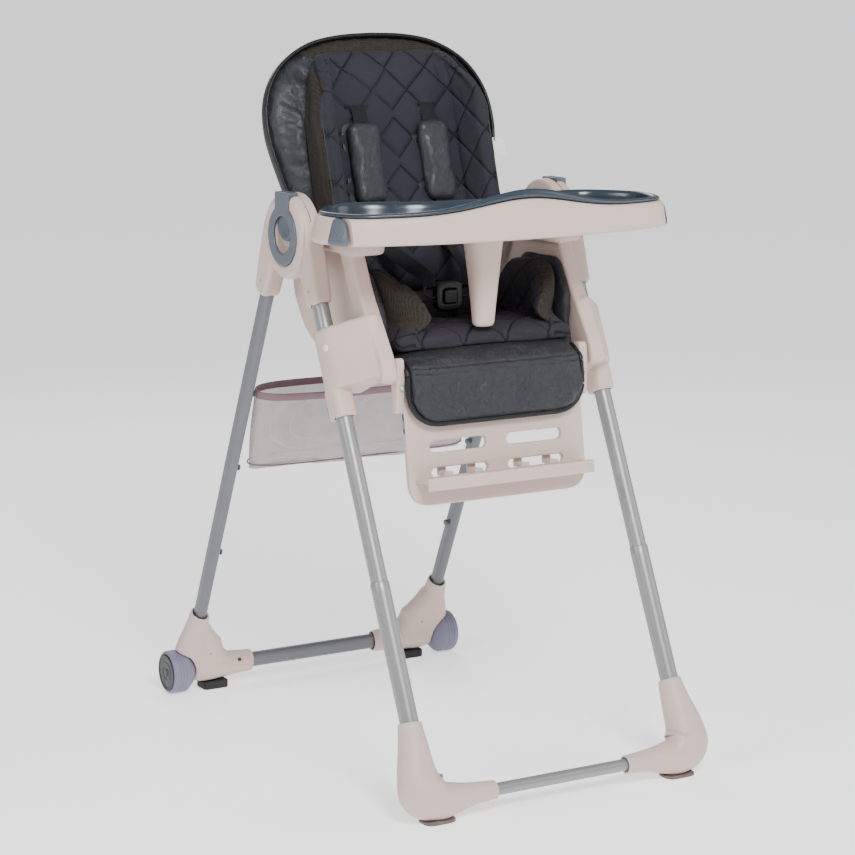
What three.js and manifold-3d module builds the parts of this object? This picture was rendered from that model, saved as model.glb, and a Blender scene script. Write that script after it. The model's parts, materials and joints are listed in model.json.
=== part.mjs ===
// A folding baby high chair: an A-frame of tubes that folds at two side hubs, a seat that slides
// up and down the front tubes, a reclining back, a swinging leg rest, a tray, and a storage net.
// Millimetres, +Z up. The child faces -Y. x = 0 is the plane of symmetry.

import * as THREE from "three";
import { mergeVertices } from "three/addons/utils/BufferGeometryUtils.js";
import Module from "manifold-3d";

const wasm = await Module();
wasm.setup();

// ---- Driving dimensions ----

const GAP = 0.4; // between pieces that rest on each other
const ORIGIN_Y = 13.4; // the frame's origin, half way between the front and rear feet

const LEAN = THREE.MathUtils.degToRad(24.7); // each leg leans this far from upright
const HUB_Y = 15; // fold pivot
const HUB_Z = 786;
const HUB_R = 64;
const HUB_INNER_X = 206.2; // the hub's face towards the child
const HUB_SPLIT_X = 222.6; // where the front shell and the rear shell meet
const HUB_OUTER_X = 240.2;
const LEG_X = 222.5; // centre plane of the leg tubes
const LEG_OFFSET = 37.3; // leg tube axis to fold pivot

const FRONT_R = 12.5; // upper front tube
const LOWER_R = 13.8; // lower front tube, which takes the upper one
const WALL = 1.5;
const LEG_TOP = 60.2; // distances down a leg, from the foot of the perpendicular through the pivot
const TUBE_JOINT = 533;
const FRONT_LEG_END = 820;
const REAR_LEG_END = 785;
const HOUSING_END = 122;
const REAR_DEEP = 25; // flat-oval rear tube
const REAR_WIDE = 18;

const FRONT_BAR_Y = -375; // the bars along the floor
const FRONT_BAR_Z = 31;
const FRONT_BAR_R = 9;
const REAR_BAR_Y = 391;
const REAR_BAR_Z = 36;
const BAR_END_X = 150;
const WHEEL_R = 35;
const WHEEL_Y = 390;
const WHEEL_Z = 35.6;

const SOCKET_X = 100; // how far in the sockets for the floor bars are cut
const ROOM = 0.8; // added to a flat-oval tube's size to make its socket
const LATCH_X = 262; // inner end of the tray's latch pockets
const LIP_GAP = 2.6; // under the rim of the tray's insert
const LIP_TOP = 842.5;
const INSERT_WALL = 23.5; // inner face of the insert, from the tray's edge

const PANEL_X = 165.6; // inner face of the seat carriers
const RECLINE_Y = 45; // backrest pivot
const RECLINE_Z = 650;
const RECLINE_TILT = THREE.MathUtils.degToRad(16.5);
const LEGREST_Y = -178; // leg rest pivot
const LEGREST_Z = 616;
const LEGREST_TILT = THREE.MathUtils.degToRad(8.7);
const TRAY_Z = 797;
const TRAY_TOP = 835;

// ---- Materials ----

function finish(color, roughness, metalness = 0) {
  return new THREE.MeshStandardMaterial({ color, roughness, metalness });
}

const TAUPE = finish(0xcdbeb4, 0.5);
const SLATE = finish(0x5a5f69, 0.45);
const TRAY_BLUE = finish(0x41505a, 0.3);
const SILVER = finish(0x9b9b9b, 0.4, 0.8);
const STEEL = finish(0xb8b8b8, 0.3, 1);
const LEATHERETTE = finish(0x3e4046, 0.6);
const QUILT = finish(0x3a3941, 0.8);
const MESH_NET = finish(0xbeb6b6, 0.9);
const RUBBER = finish(0x161616, 0.9);
const WHEEL_GREY = finish(0x707084, 0.5);
const BLACK = finish(0x202024, 0.6);

// ---- Solids ----

function solid(geometry) {
  const bare = geometry.index ? geometry.toNonIndexed() : geometry.clone();
  bare.deleteAttribute("normal");
  bare.deleteAttribute("uv");
  const merged = mergeVertices(bare, 1e-3);
  const triVerts = new Uint32Array(merged.index.array);
  const vertProperties = merged.attributes.position.array;
  const made = new wasm.Manifold(new wasm.Mesh({ numProp: 3, vertProperties, triVerts }));
  if (made.volume() > 0) return made;
  for (let i = 0; i < triVerts.length; i += 3) {
    [triVerts[i + 1], triVerts[i + 2]] = [triVerts[i + 2], triVerts[i + 1]];
  }
  return new wasm.Manifold(new wasm.Mesh({ numProp: 3, vertProperties, triVerts }));
}

function skin(shape) {
  const mesh = shape.getMesh();
  const geometry = new THREE.BufferGeometry();
  geometry.setAttribute("position", new THREE.BufferAttribute(mesh.vertProperties, 3));
  geometry.setIndex(new THREE.BufferAttribute(mesh.triVerts, 1));
  geometry.computeVertexNormals();
  return geometry;
}

function join(first, ...others) {
  return others.reduce((whole, other) => whole.add(solid(other)), solid(first));
}

function cut(whole, ...tools) {
  return tools.reduce((left, tool) => left.subtract(solid(tool)), whole);
}

// ---- Outlines and extrusions ----

// A closed outline with rounded corners. A corner is [u, v] or [u, v, radius].
function outline(corners, radius = 0) {
  const points = [];
  const count = corners.length;
  corners.forEach(([u, v, own], i) => {
    const here = new THREE.Vector2(u, v);
    const reach = own ?? radius;
    const [start, end] = [corners[(i + count - 1) % count], corners[(i + 1) % count]].map(([a, b]) => {
      const other = new THREE.Vector2(a, b);
      return here.clone().lerp(other, Math.min(reach / here.distanceTo(other), 0.48));
    });
    const bend = new THREE.QuadraticBezierCurve(start, here, end);
    points.push(...(reach > 0 ? bend.getPoints(reach > 20 ? 3 : 2) : [here]));
  });
  return new THREE.Shape(points);
}

function box2(u0, v0, u1, v1, radius = 0) {
  return outline([[u0, v0], [u1, v0], [u1, v1], [u0, v1]], radius);
}

// The same outline on both sides of u = 0, given its right half from bottom to top.
function mirrored(corners, radius = 0) {
  const left = corners.map(([u, v, own]) => [-u, v, own]).reverse();
  return outline([...corners, ...left], radius);
}

function disc(radius, u = 0, v = 0) {
  return new THREE.Shape().absarc(u, v, radius, 0, 2 * Math.PI);
}

// A flat-oval section, "wide" along u and "deep" along v, with round ends.
function flatOval(wide, deep, u = 0, v = 0) {
  const radius = Math.min(wide, deep) / 2;
  const [du, dv] = [wide / 2 - radius, deep / 2 - radius];
  if (du + dv < 0.01) return disc(radius, u, v);
  const shape = new THREE.Shape();
  if (du > dv) {
    shape.absarc(u + du, v, radius, -Math.PI / 2, Math.PI / 2);
    shape.absarc(u - du, v, radius, Math.PI / 2, 1.5 * Math.PI);
  } else {
    shape.absarc(u, v + dv, radius, 0, Math.PI);
    shape.absarc(u, v - dv, radius, Math.PI, 2 * Math.PI);
  }
  return shape;
}

// Outline (x, y), from z0 to z1.
function alongZ(shape, z0, z1, bevel = 0, curveSegments = 3) {
  return new THREE.ExtrudeGeometry(shape, {
    depth: z1 - z0 - 2 * bevel,
    curveSegments,
    bevelEnabled: bevel > 0,
    bevelThickness: bevel,
    bevelSize: bevel,
    bevelOffset: -bevel,
    bevelSegments: 1,
  }).translate(0, 0, z0 + bevel);
}

// Outline (y, z), from x0 to x1.
function alongX(shape, x0, x1, bevel = 0, curveSegments = 3) {
  const turn = new THREE.Matrix4().set(0, 0, 1, 0, 1, 0, 0, 0, 0, 1, 0, 0, 0, 0, 0, 1);
  return alongZ(shape, x0, x1, bevel, curveSegments).applyMatrix4(turn);
}

// Outline (x, z), from y0 to y1.
function alongY(shape, y0, y1, bevel = 0, curveSegments = 3) {
  return alongZ(shape, -y1, -y0, bevel, curveSegments).rotateX(Math.PI / 2);
}

// A tube down a leg or along a bar: its section with the bore taken out.
function tubeGeometry(wide, deep, wall, from, to, u = 0, v = 0) {
  const section = flatOval(wide, deep, u, v);
  section.holes.push(flatOval(wide - 2 * wall, deep - 2 * wall, u, v));
  return alongZ(section, from, to, 0, wide === deep ? 11 : 6);
}

// A turned piece about the X axis through (y, z). The profile is [x, radius], from one end to
// the other; it closes along the axis, or along "bore".
function turned(profile, y = 0, z = 0, bore = 0, segments = 24) {
  const points = profile.map(([x, radius]) => new THREE.Vector2(radius, x));
  const [first, last] = [points[0], points.at(-1)];
  const ring = [new THREE.Vector2(bore, first.y), ...points, new THREE.Vector2(bore, last.y)];
  if (bore > 0) ring.push(ring[0].clone());
  return new THREE.LatheGeometry(ring, segments).rotateZ(-Math.PI / 2).translate(0, y, z);
}

// A skin through oval rings that follow a path. A station is [x, y, z, wide, deep]: "deep" is
// the half size along Y, "wide" the half size across the path.
function lofted(stations, sides = 14) {
  const centres = stations.map(([x, y, z]) => new THREE.Vector3(x, y, z));
  const positions = [];
  stations.forEach(([, , , wide, deep], i) => {
    const before = centres[Math.max(i - 1, 0)];
    const after = centres[Math.min(i + 1, centres.length - 1)];
    const along = after.clone().sub(before).normalize();
    const back = new THREE.Vector3(0, 1, 0).addScaledVector(along, -along.y).normalize();
    const across = back.clone().cross(along);
    for (let k = 0; k < sides; k++) {
      const angle = (2 * Math.PI * k) / sides;
      const point = centres[i].clone();
      point.addScaledVector(across, wide * Math.cos(angle));
      point.addScaledVector(back, deep * Math.sin(angle));
      positions.push(...point);
    }
  });
  const index = [];
  for (let i = 0; i + 1 < stations.length; i++) {
    for (let k = 0; k < sides; k++) {
      const [a, b] = [i * sides + k, i * sides + ((k + 1) % sides)];
      index.push(a, b, a + sides, b, b + sides, a + sides);
    }
  }
  const top = (stations.length - 1) * sides;
  for (let k = 1; k + 1 < sides; k++) index.push(0, k + 1, k, top, top + k, top + k + 1);
  const geometry = new THREE.BufferGeometry();
  geometry.setAttribute("position", new THREE.Float32BufferAttribute(positions, 3));
  geometry.setIndex(index);
  return geometry;
}

// A smooth path through a few stations, as more of them.
function smoothed(stations, count) {
  const route = new THREE.CatmullRomCurve3(stations.map(([x, y, z]) => new THREE.Vector3(x, y, z)));
  const sizes = new THREE.CatmullRomCurve3(stations.map(([, , , a, b]) => new THREE.Vector3(a, b, 0)));
  return Array.from({ length: count + 1 }, (_, i) => {
    const here = route.getPoint(i / count);
    const size = sizes.getPoint(i / count);
    return [here.x, here.y, here.z, size.x, size.y];
  });
}

// ---- The scene ----

const chair = new THREE.Group();
chair.position.y = -ORIGIN_Y;

function frameAt(y, z, turn) {
  const frame = new THREE.Group();
  frame.position.set(0, y, z);
  frame.rotation.x = turn;
  chair.add(frame);
  return frame;
}

const frontLeg = frameAt(HUB_Y, HUB_Z, -LEAN); // z up the front legs, origin at the pivot
const rearLeg = frameAt(HUB_Y, HUB_Z, LEAN); // z up the rear legs, origin at the pivot
const backrest = frameAt(RECLINE_Y, RECLINE_Z, -RECLINE_TILT);
const legrest = frameAt(LEGREST_Y, LEGREST_Z, -LEGREST_TILT);

function piece(parent, name, shape, material) {
  const geometry = shape.isBufferGeometry ? skin(solid(shape)) : skin(shape);
  const mesh = new THREE.Mesh(geometry, material.clone());
  mesh.name = name;
  parent.add(mesh);
  return mesh;
}

// The right-hand piece as given (x > 0), and its mirror image on the left.
function pair(parent, name, shape, material) {
  piece(parent, `${name}_right`, shape, material);
  piece(parent, `${name}_left`, shape, material).scale.x = -1;
}

// A point on a leg's axis, "down" from the foot of the perpendicular through the pivot.
function onLeg(side, down) {
  const [sine, cosine] = [Math.sin(LEAN), Math.cos(LEAN)];
  return [
    LEG_X,
    HUB_Y + side * (LEG_OFFSET * cosine + down * sine),
    HUB_Z + LEG_OFFSET * sine - down * cosine,
  ];
}

function fromFrontLeg(geometry) {
  return geometry.rotateX(-LEAN).translate(0, HUB_Y, HUB_Z);
}

function fromRearLeg(geometry) {
  return geometry.rotateX(LEAN).translate(0, HUB_Y, HUB_Z);
}

// ---- Front frame ----

function makeFrontTubes() {
  const upper = tubeGeometry(2 * FRONT_R, 2 * FRONT_R, WALL, -570, -LEG_TOP, LEG_X, -LEG_OFFSET);
  const wall = LOWER_R - FRONT_R - GAP;
  const lower = tubeGeometry(2 * LOWER_R, 2 * LOWER_R, wall, -FRONT_LEG_END, -TUBE_JOINT, LEG_X, -LEG_OFFSET);
  pair(frontLeg, "front_leg_upper", upper, SILVER);
  pair(frontLeg, "front_leg_lower", lower, SILVER);
  const bar = tubeGeometry(2 * FRONT_BAR_R, 2 * FRONT_BAR_R, WALL, -BAR_END_X, BAR_END_X);
  bar.rotateY(Math.PI / 2).translate(0, FRONT_BAR_Y, FRONT_BAR_Z);
  piece(chair, "front_cross_tube", bar, SILVER);
}

function makeFrontFeet() {
  const stations = [
    [...onLeg(-1, 737), 17.5, 17.5],
    [225, onLeg(-1, 770)[1], onLeg(-1, 770)[2], 22.5, 20.5],
    [228.5, -358, 68, 30, 24],
    [224, -369, 44, 37, 26.5],
    [203, -374, 31, 29, 25],
    [178, -375, 30, 22.5, 21],
    [148, -375, 31, 16.5, 16],
    [112, FRONT_BAR_Y, FRONT_BAR_Z, 13.5, 13.5],
  ];
  const socket = alongZ(disc(LOWER_R + GAP, LEG_X, -LEG_OFFSET), -FRONT_LEG_END - 2, -720, 0, 8);
  const bore = FRONT_BAR_R + GAP;
  const barSocket = turned([[SOCKET_X, bore], [BAR_END_X + 2, bore]], FRONT_BAR_Y, FRONT_BAR_Z);
  const floor = new THREE.BoxGeometry(400, 400, 100).translate(200, FRONT_BAR_Y, -50 + 6 + GAP);
  const foot = cut(solid(lofted(smoothed(stations, 10))), fromFrontLeg(socket), barSocket, floor);
  pair(chair, "front_foot", foot, TAUPE);
  pair(chair, "front_pad", alongZ(box2(174, -397, 236, -352, 9), 0, 6, 1.2), RUBBER);
}

// The arm of a hub shell that holds its leg tube, in the leg's frame. "side" is -1 for the
// front leg and 1 for the rear leg.
function housingArm(side) {
  const inner = [[21, -HOUSING_END], [18.5, -62], [8, -25], [24, 5]];
  const outer = [[60, 22], [68, -8], [62, -70], [54, -HOUSING_END]];
  const corners = [...inner, ...outer];
  return alongX(outline(corners.map(([v, w]) => [side * v, w]), 10), 208.3, 238.3, 5);
}

function makeFrontHub() {
  const plate = turned(
    [
      [HUB_INNER_X, 57],
      [HUB_INNER_X + 1.6, 61],
      [HUB_INNER_X + 5, HUB_R - 0.8],
      [HUB_SPLIT_X - GAP, HUB_R - 0.8],
    ],
    0, 0, 0, 32,
  );
  const arm = cut(
    solid(housingArm(-1)),
    turned([[HUB_SPLIT_X - GAP, HUB_R + 0.8], [260, HUB_R + 0.8]], 0, 0, 0, 32),
  );
  const shell = cut(
    arm.add(solid(plate)),
    alongZ(disc(FRONT_R + 0.3, LEG_X, -LEG_OFFSET), -HOUSING_END - 5, -LEG_TOP + 0.5, 0, 8),
    turned([[200, 6.3], [260, 6.3]]),
  );
  pair(frontLeg, "front_hub_shell", shell, TAUPE);
  const axle = turned([[201.6, 9], [203, 11], [HUB_INNER_X - GAP, 11], [HUB_INNER_X - GAP, 6], [227.6, 6]]);
  pair(frontLeg, "hub_axle", axle, STEEL);
}

// ---- Rear frame ----

function makeRearTubes() {
  const leg = tubeGeometry(REAR_WIDE, REAR_DEEP, WALL, -REAR_LEG_END, -LEG_TOP, LEG_X, LEG_OFFSET);
  pair(rearLeg, "rear_leg", leg, SILVER);
  const bar = tubeGeometry(REAR_DEEP, REAR_WIDE, WALL, -BAR_END_X, BAR_END_X);
  bar.rotateY(Math.PI / 2).translate(0, REAR_BAR_Y, REAR_BAR_Z);
  piece(chair, "rear_cross_tube", bar, SILVER);
}

const WHEEL_PROFILE = [[224, 17], [231, 27], [238, 33.5], [244, WHEEL_R], [263, WHEEL_R], [268, 31.5]];

function makeRearFeet() {
  const stations = [
    [...onLeg(1, 731), 15, 18],
    [223.5, onLeg(1, 765)[1], onLeg(1, 765)[2], 20, 20],
    [226, 382, 72, 28, 22],
    [221, 390, 52, 33, 23],
    [200, 391, 39, 28, 23],
    [176, 391, 36.5, 23, 22],
    [148, 391, 36, 20, 18],
    [115, REAR_BAR_Y, REAR_BAR_Z, 18, 14],
  ];
  const legRoom = flatOval(REAR_WIDE + ROOM, REAR_DEEP + ROOM, LEG_X, LEG_OFFSET);
  const barRoom = flatOval(REAR_WIDE + ROOM, REAR_DEEP + ROOM, REAR_BAR_Y, REAR_BAR_Z);
  const socket = alongZ(legRoom, -REAR_LEG_END - 2, -720, 0, 6);
  const barSocket = alongX(barRoom, SOCKET_X, BAR_END_X + 2, 0, 6);
  const wheelRoom = WHEEL_PROFILE.map(([x, radius]) => [x - 1.2, radius + 1.4]);
  const foot = cut(
    solid(lofted(smoothed(stations, 10))),
    fromRearLeg(socket),
    barSocket,
    turned([...wheelRoom, [300, WHEEL_R + 1.4]], WHEEL_Y, WHEEL_Z),
    turned([[188, 4.4], [260, 4.4]], WHEEL_Y, WHEEL_Z, 0, 16),
    new THREE.BoxGeometry(400, 400, 100).translate(200, REAR_BAR_Y, -50 + 13 + GAP),
  );
  pair(chair, "rear_foot", foot, TAUPE);
  pair(chair, "rear_pad", alongZ(box2(163, 373, 207, 409, 7), 0, 13, 1.5), RUBBER);
}

function makeWheels() {
  const recess = turned([[266, 29.9], [280, 29.9]], WHEEL_Y, WHEEL_Z);
  pair(chair, "rear_wheel", cut(solid(turned(WHEEL_PROFILE, WHEEL_Y, WHEEL_Z, 4.4)), recess), WHEEL_GREY);
  const cap = turned([[266 + GAP, 29.4], [268.6, 29.4], [269.8, 27]], WHEEL_Y, WHEEL_Z);
  pair(chair, "wheel_cap", cap, SLATE);
  pair(chair, "wheel_axle", turned([[189, 4], [264.5, 4]], WHEEL_Y, WHEEL_Z, 0, 16), STEEL);
}

const TAB_HALF = 21; // the release bezel's tab, over the top of the hub
const BEZEL_R = 44;

function makeRearHub() {
  const plate = turned(
    [[HUB_SPLIT_X + GAP, HUB_R], [231, HUB_R], [236, 62], [239, 58.5], [HUB_OUTER_X, 53]],
    0, 0, 0, 32,
  );
  const arm = cut(
    solid(housingArm(1)),
    turned([[190, HUB_R], [HUB_SPLIT_X + GAP, HUB_R]], 0, 0, 0, 32),
  );
  const upright = [
    turned([[236.7, BEZEL_R + GAP], [260, BEZEL_R + GAP]], 0, 0, 0, 32),
    alongX(box2(-TAB_HALF - GAP, 20, TAB_HALF + GAP, 80), 236.7, 260),
    alongX(box2(-TAB_HALF - GAP, 56.5, TAB_HALF + GAP, 80), HUB_SPLIT_X, 260),
    alongX(box2(-27.5, -28, 27.5, 46, 27), 228.6, 260),
  ];
  const shell = cut(
    arm.add(solid(plate)),
    alongZ(
      flatOval(REAR_WIDE + ROOM, REAR_DEEP + ROOM, LEG_X, LEG_OFFSET),
      -HOUSING_END - 5,
      -LEG_TOP + 0.5,
      0,
      8,
    ),
    turned([[190, 6.3], [260, 6.3]]),
    ...upright.map((tool) => tool.rotateX(-LEAN)),
  );
  pair(rearLeg, "rear_hub_shell", shell, TAUPE);
}

function makeRelease() {
  const edge = turned([[200, HUB_R + 1.2], [260, HUB_R + 1.2]], 0, 0, 0, 32);
  const tab = solid(alongX(box2(-TAB_HALF, 30, TAB_HALF, 80), 236.7 + GAP, 242))
    .add(solid(alongX(box2(-TAB_HALF, 57, TAB_HALF, 80), HUB_SPLIT_X + 1, 242)))
    .intersect(solid(edge));
  const ring = solid(turned([[236.7 + GAP, BEZEL_R], [240.5, BEZEL_R], [242, BEZEL_R - 2]], 0, 0, 0, 32));
  const bezel = cut(ring.add(tab), alongX(disc(27.5, 0, 2), 230, 260, 0, 16));
  const move = new THREE.Group();
  move.position.set(0, HUB_Y, HUB_Z);
  chair.add(move);
  pair(move, "hub_bezel", bezel, SLATE);
  const pad = alongX(disc(23, 0, 15), 229, 235.6, 1.5, 14);
  pair(move, "hub_release", cut(solid(pad), turned([[234, 11], [236, 15]], 0, 14, 0, 24)), SLATE);
}

// The storage net: a flat pouch between the rear legs, open at the top.
function makeBasket() {
  const rings = [[-302, 20], [-345, 26], [-400, 25], [-435, 16], [-449, 7]];
  const shell = (inset, top, end) =>
    lofted(
      rings.map(([z, deep], i) => [
        0,
        LEG_OFFSET,
        i === 0 ? z + top : z + (i === rings.length - 1 ? end : 0),
        208 - inset,
        deep - inset,
      ]),
      24,
    );
  const pouch = cut(solid(shell(0, 0, 0)), shell(2.5, 4, 3));
  piece(rearLeg, "storage_basket", pouch, MESH_NET);
}

// ---- Seat ----

const BLOCK_TOP = 158; // distances down the front leg
const BLOCK_END = 250;
const SLEEVE_END = 290;

function makeCarriers() {
  const front = [[-199, 590], [-193, 622], [-172, 652], [-128, 715], [-98, 775]];
  const ridge = front.map(([y, z]) => [y + 1.3, z + 1]);
  const side = outline([...front, [60, 775], [104, 750], [104, 690], [70, 640], [10, 604], [-60, 590]], 16);
  const strut = outline([...ridge, [-62, 778], [-92, 715], [-125, 655], [-140, 601]], 10);
  const blockSide = [[170, -112], [188, -112], [236, -60], [241, -37], [236, -20], [205, -16], [170, -8]];
  const block = outline(blockSide, 8);
  const carrier = cut(
    join(
      alongX(side, PANEL_X, 178, 2),
      alongX(strut, PANEL_X + 5, 190, 3),
      fromFrontLeg(alongZ(block, -BLOCK_END, -BLOCK_TOP, 3)),
      fromFrontLeg(alongZ(box2(206.5, -54.5, 238.5, -16, 9), -SLEEVE_END, -BLOCK_END + 5, 2)),
      alongZ(box2(140, -128, 197, 0, 22), 767, TRAY_Z - 4.5, 6),
    ),
    fromFrontLeg(alongZ(disc(FRONT_R + 0.6, LEG_X, -LEG_OFFSET), -SLEEVE_END - 5, -BLOCK_TOP + 5, 0, 8)),
    fromFrontLeg(alongZ(box2(212, -20.8, 234, -10), -SLEEVE_END + 3, -BLOCK_END - 1)),
    turned([[160, 6.4], [200, 6.4]], RECLINE_Y, RECLINE_Z, 0, 20),
    turned([[160, 5.4], [200, 5.4]], LEGREST_Y, LEGREST_Z, 0, 20),
  );
  pair(chair, "seat_carrier", carrier, TAUPE);
  const latch = alongZ(box2(212.5, -16.8, 233.5, -9, 2), -SLEEVE_END + 3.6, -BLOCK_END - 1.6, 1.5);
  pair(frontLeg, "height_latch", latch, SLATE);
}

function makeSeat() {
  const half = PANEL_X - GAP;
  piece(chair, "seat_pan", alongZ(box2(-half, -160, half, 30, 20), 584, 600, 3), TAUPE);
  const side = outline([[-150, 601], [22, 601], [22, 700], [-10, 745], [-110, 745], [-145, 690]], 12);
  const pad = cut(
    solid(alongX(side, -164.6, 164.6, 4)),
    new THREE.BoxGeometry(2 * 151, 400, 300).translate(0, 0, 628 + 150),
  );
  piece(chair, "seat_pad", pad, LEATHERETTE);
  const wings = outline([[-172, 629], [18, 629], [18, 690], [-20, 735], [-90, 744], [-150, 715]], 14);
  const liner = cut(
    solid(alongX(wings, -150, 150, 5)),
    new THREE.BoxGeometry(2 * 121, 400, 300).translate(0, 0, 651 + 150),
  );
  piece(chair, "seat_liner", liner, QUILT);
}

function makeBuckle() {
  piece(chair, "crotch_strap", new THREE.BoxGeometry(38, 2.4, 14).translate(0, -56, 659), BLACK);
  const body = cut(
    solid(alongY(box2(-23, 668, 23, 712, 8), -63, -49, 2.5)),
    alongY(box2(-11.5, 679.5, 11.5, 700.5, 3), -70, -57.5),
  );
  piece(chair, "buckle", body, BLACK);
  piece(chair, "buckle_button", alongY(box2(-11, 680, 11, 700, 3), -66, -60.6, 1), BLACK);
}

// ---- Backrest, in its own frame: z up the back, -y towards the child ----

function makeBackrest() {
  const shellLow = [[138, 14], [150, 70], [168, 170], [190, 260]];
  const shellSide = [...shellLow, [194, 330], [172, 393], [110, 425], [0, 428]];
  const lug = outline([[-11, -11], [11, -11], [46, 20], [46, 80], [31, 80], [31, 40], [-11, 12]], 6);
  const shell = join(
    alongY(mirrored(shellSide, 24), 31, 45, 4),
    ...[-1, 1].flatMap((side) => [
      alongX(lug, side > 0 ? 148 : -162, side > 0 ? 162 : -148, 1.5),
      turned([[side * 155, 6], [side * 176, 6]], 0, 0, 0, 20),
    ]),
  );
  piece(backrest, "back_shell", shell, TAUPE);
  const padLow = [[145, 22], [146, 78], [168, 160], [192, 250]];
  const padSide = [...padLow, [198, 330], [178, 400], [110, 435], [0, 438]];
  piece(backrest, "back_pad", alongY(mirrored(padSide, 26), 1, 30.4, 8), LEATHERETTE);

  const wings = [[-150, -60], [-137, -66], [-112, -18], [112, -18], [137, -66], [150, -60]];
  const plan = outline([...wings, [128, 0.5], [-128, 0.5]], 5);
  const face = mirrored([[152, 36], [152, 340], [112, 406]], 30);
  const profile = outline([[2, 34], [2, 410], [-25, 410], [-68, 330], [-68, 122], [-22, 62], [-22, 34]], 16);
  const liner = solid(alongZ(plan, 30, 412))
    .intersect(solid(alongY(face, -80, 10)))
    .intersect(solid(alongX(profile, -160, 160)));
  piece(backrest, "back_liner", liner, QUILT);
  pair(backrest, "shoulder_pad", alongY(box2(37, 166, 84, 300, 16), -42, -19, 7), LEATHERETTE);
  const gripBar = solid(alongY(box2(-52, 296, 52, 346, 14), 45.4, 62, 4));
  const grip = cut(gripBar, alongY(box2(-34, 308, 34, 330, 9), 40, 70));
  piece(backrest, "recline_handle", grip, SLATE);
}

// ---- Leg rest, in its own frame: z up the panel, its front face at y = 0 ----

const SLOT_Z = -123; // the row of open slots
const STEP_Z = -160; // the row that holds the foot step

function makeLegRest() {
  const panel = mirrored([[151, -207, 34], [151, -18, 10]]);
  const ear = outline([[-9, 9], [9, 9], [15, -70], [1, -70], [-9, -16]], 5);
  const slots = [-1, 1].flatMap((side) => [
    alongY(box2(side * 65 - 48, SLOT_Z - 8.5, side * 65 + 48, SLOT_Z + 8.5, 8.4), -5, 30),
    alongY(box2(side * 65 - 48, STEP_Z - 6.5, side * 65 + 48, STEP_Z + 6.5, 6), -5, 30),
  ]);
  const whole = [-1, 1].reduce((made, side) => {
    const bracket = alongX(ear, side > 0 ? 149 : -163.6, side > 0 ? 163.6 : -149, 1.5);
    const pin = turned([[side * 160, 5], [side * 175, 5]], 0, 0, 0, 20);
    return made.add(solid(bracket)).add(solid(pin));
  }, cut(solid(alongY(panel, 0, 10, 2)), ...slots));
  piece(legrest, "legrest_panel", whole, TAUPE);
  const pad = mirrored([[100, -92, 30], [147, -62, 40], [147, -14, 8]]);
  piece(legrest, "calf_pad", alongY(pad, -21, -GAP, 6), LEATHERETTE);

  const tread = alongX(
    outline([[-0.6, -174], [-0.6, -168], [-39, -165], [-39, -184], [-34, -184], [-33, -173]], 0.8),
    -141.5,
    141.5,
  );
  const hookFoot = [[-10, -172], [-1, -172], [-1, -165.8], [14, -165.8]];
  const hook = outline([...hookFoot, [14, -154.4], [10.6, -154.4], [10.6, -160], [-10, -160]]);
  const hooks = [-90, -40, 40, 90].map((x) => alongX(hook, x - 7, x + 7));
  piece(legrest, "foot_step", join(tread, ...hooks), TAUPE);
}

// ---- Tray ----

// The tray's plan: a belly cut at the back, and a long shallow curve across the front.
function trayPlan(inset) {
  const front = [160, 120, 80, 40, 0].map((x) => [x, -291 + inset + 12 * (x / 160) ** 2]);
  return mirrored([
    [0, -128 - inset, 30],
    [95, -126 - inset, 40],
    [150 + inset * 0.3, -82 - inset, 30],
    [225 - inset * 0.6, -76 - inset, 50],
    [288 - inset, -150, 50],
    [287 - inset, -205, 30],
    [268 - inset, -248 + inset * 0.6, 26],
    ...front,
  ]);
}

const TRAY_FLOOR = 813;

// The rim rises in a low hump at the middle of the front, and the sides lean in towards it.
function shaped(geometry) {
  const position = geometry.attributes.position;
  for (let i = 0; i < position.count; i++) {
    const [x, y, z] = [position.getX(i), position.getY(i), position.getZ(i)];
    const rise = (z - TRAY_Z) / (TRAY_TOP - TRAY_Z);
    const forward = THREE.MathUtils.smoothstep(-y, 205, 275);
    const hump = 19 * Math.exp(-((x / 105) ** 2)) * forward;
    const aboveFloor = Math.max(0, (z - TRAY_FLOOR - 6) / (TRAY_TOP - TRAY_FLOOR - 6));
    const lean = 1 - 0.035 * rise;
    position.setXYZ(i, x * lean, -170 + (y + 170) * lean, z + hump * aboveFloor);
  }
  return geometry;
}

const LATCH_Y = [-251, -205];

// The space inside the tray's rim, short of the two latches.
function bowl(inset, z0, z1) {
  const latchWall = new THREE.BoxGeometry(100, LATCH_Y[1] - LATCH_Y[0] + 2 * inset, 100);
  const middle = (LATCH_Y[0] + LATCH_Y[1]) / 2;
  const ends = [-1, 1].map((side) => latchWall.clone().translate(side * (316 - inset), middle, 830));
  return cut(solid(alongZ(trayPlan(inset), z0, z1, 0, 4)), ...ends);
}

function latchBlock(from, slack) {
  const wide = LATCH_Y[1] - LATCH_Y[0] - 2 * slack;
  return new THREE.BoxGeometry(100, wide, 100).translate(from + 50, (LATCH_Y[0] + LATCH_Y[1]) / 2, 815);
}

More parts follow.
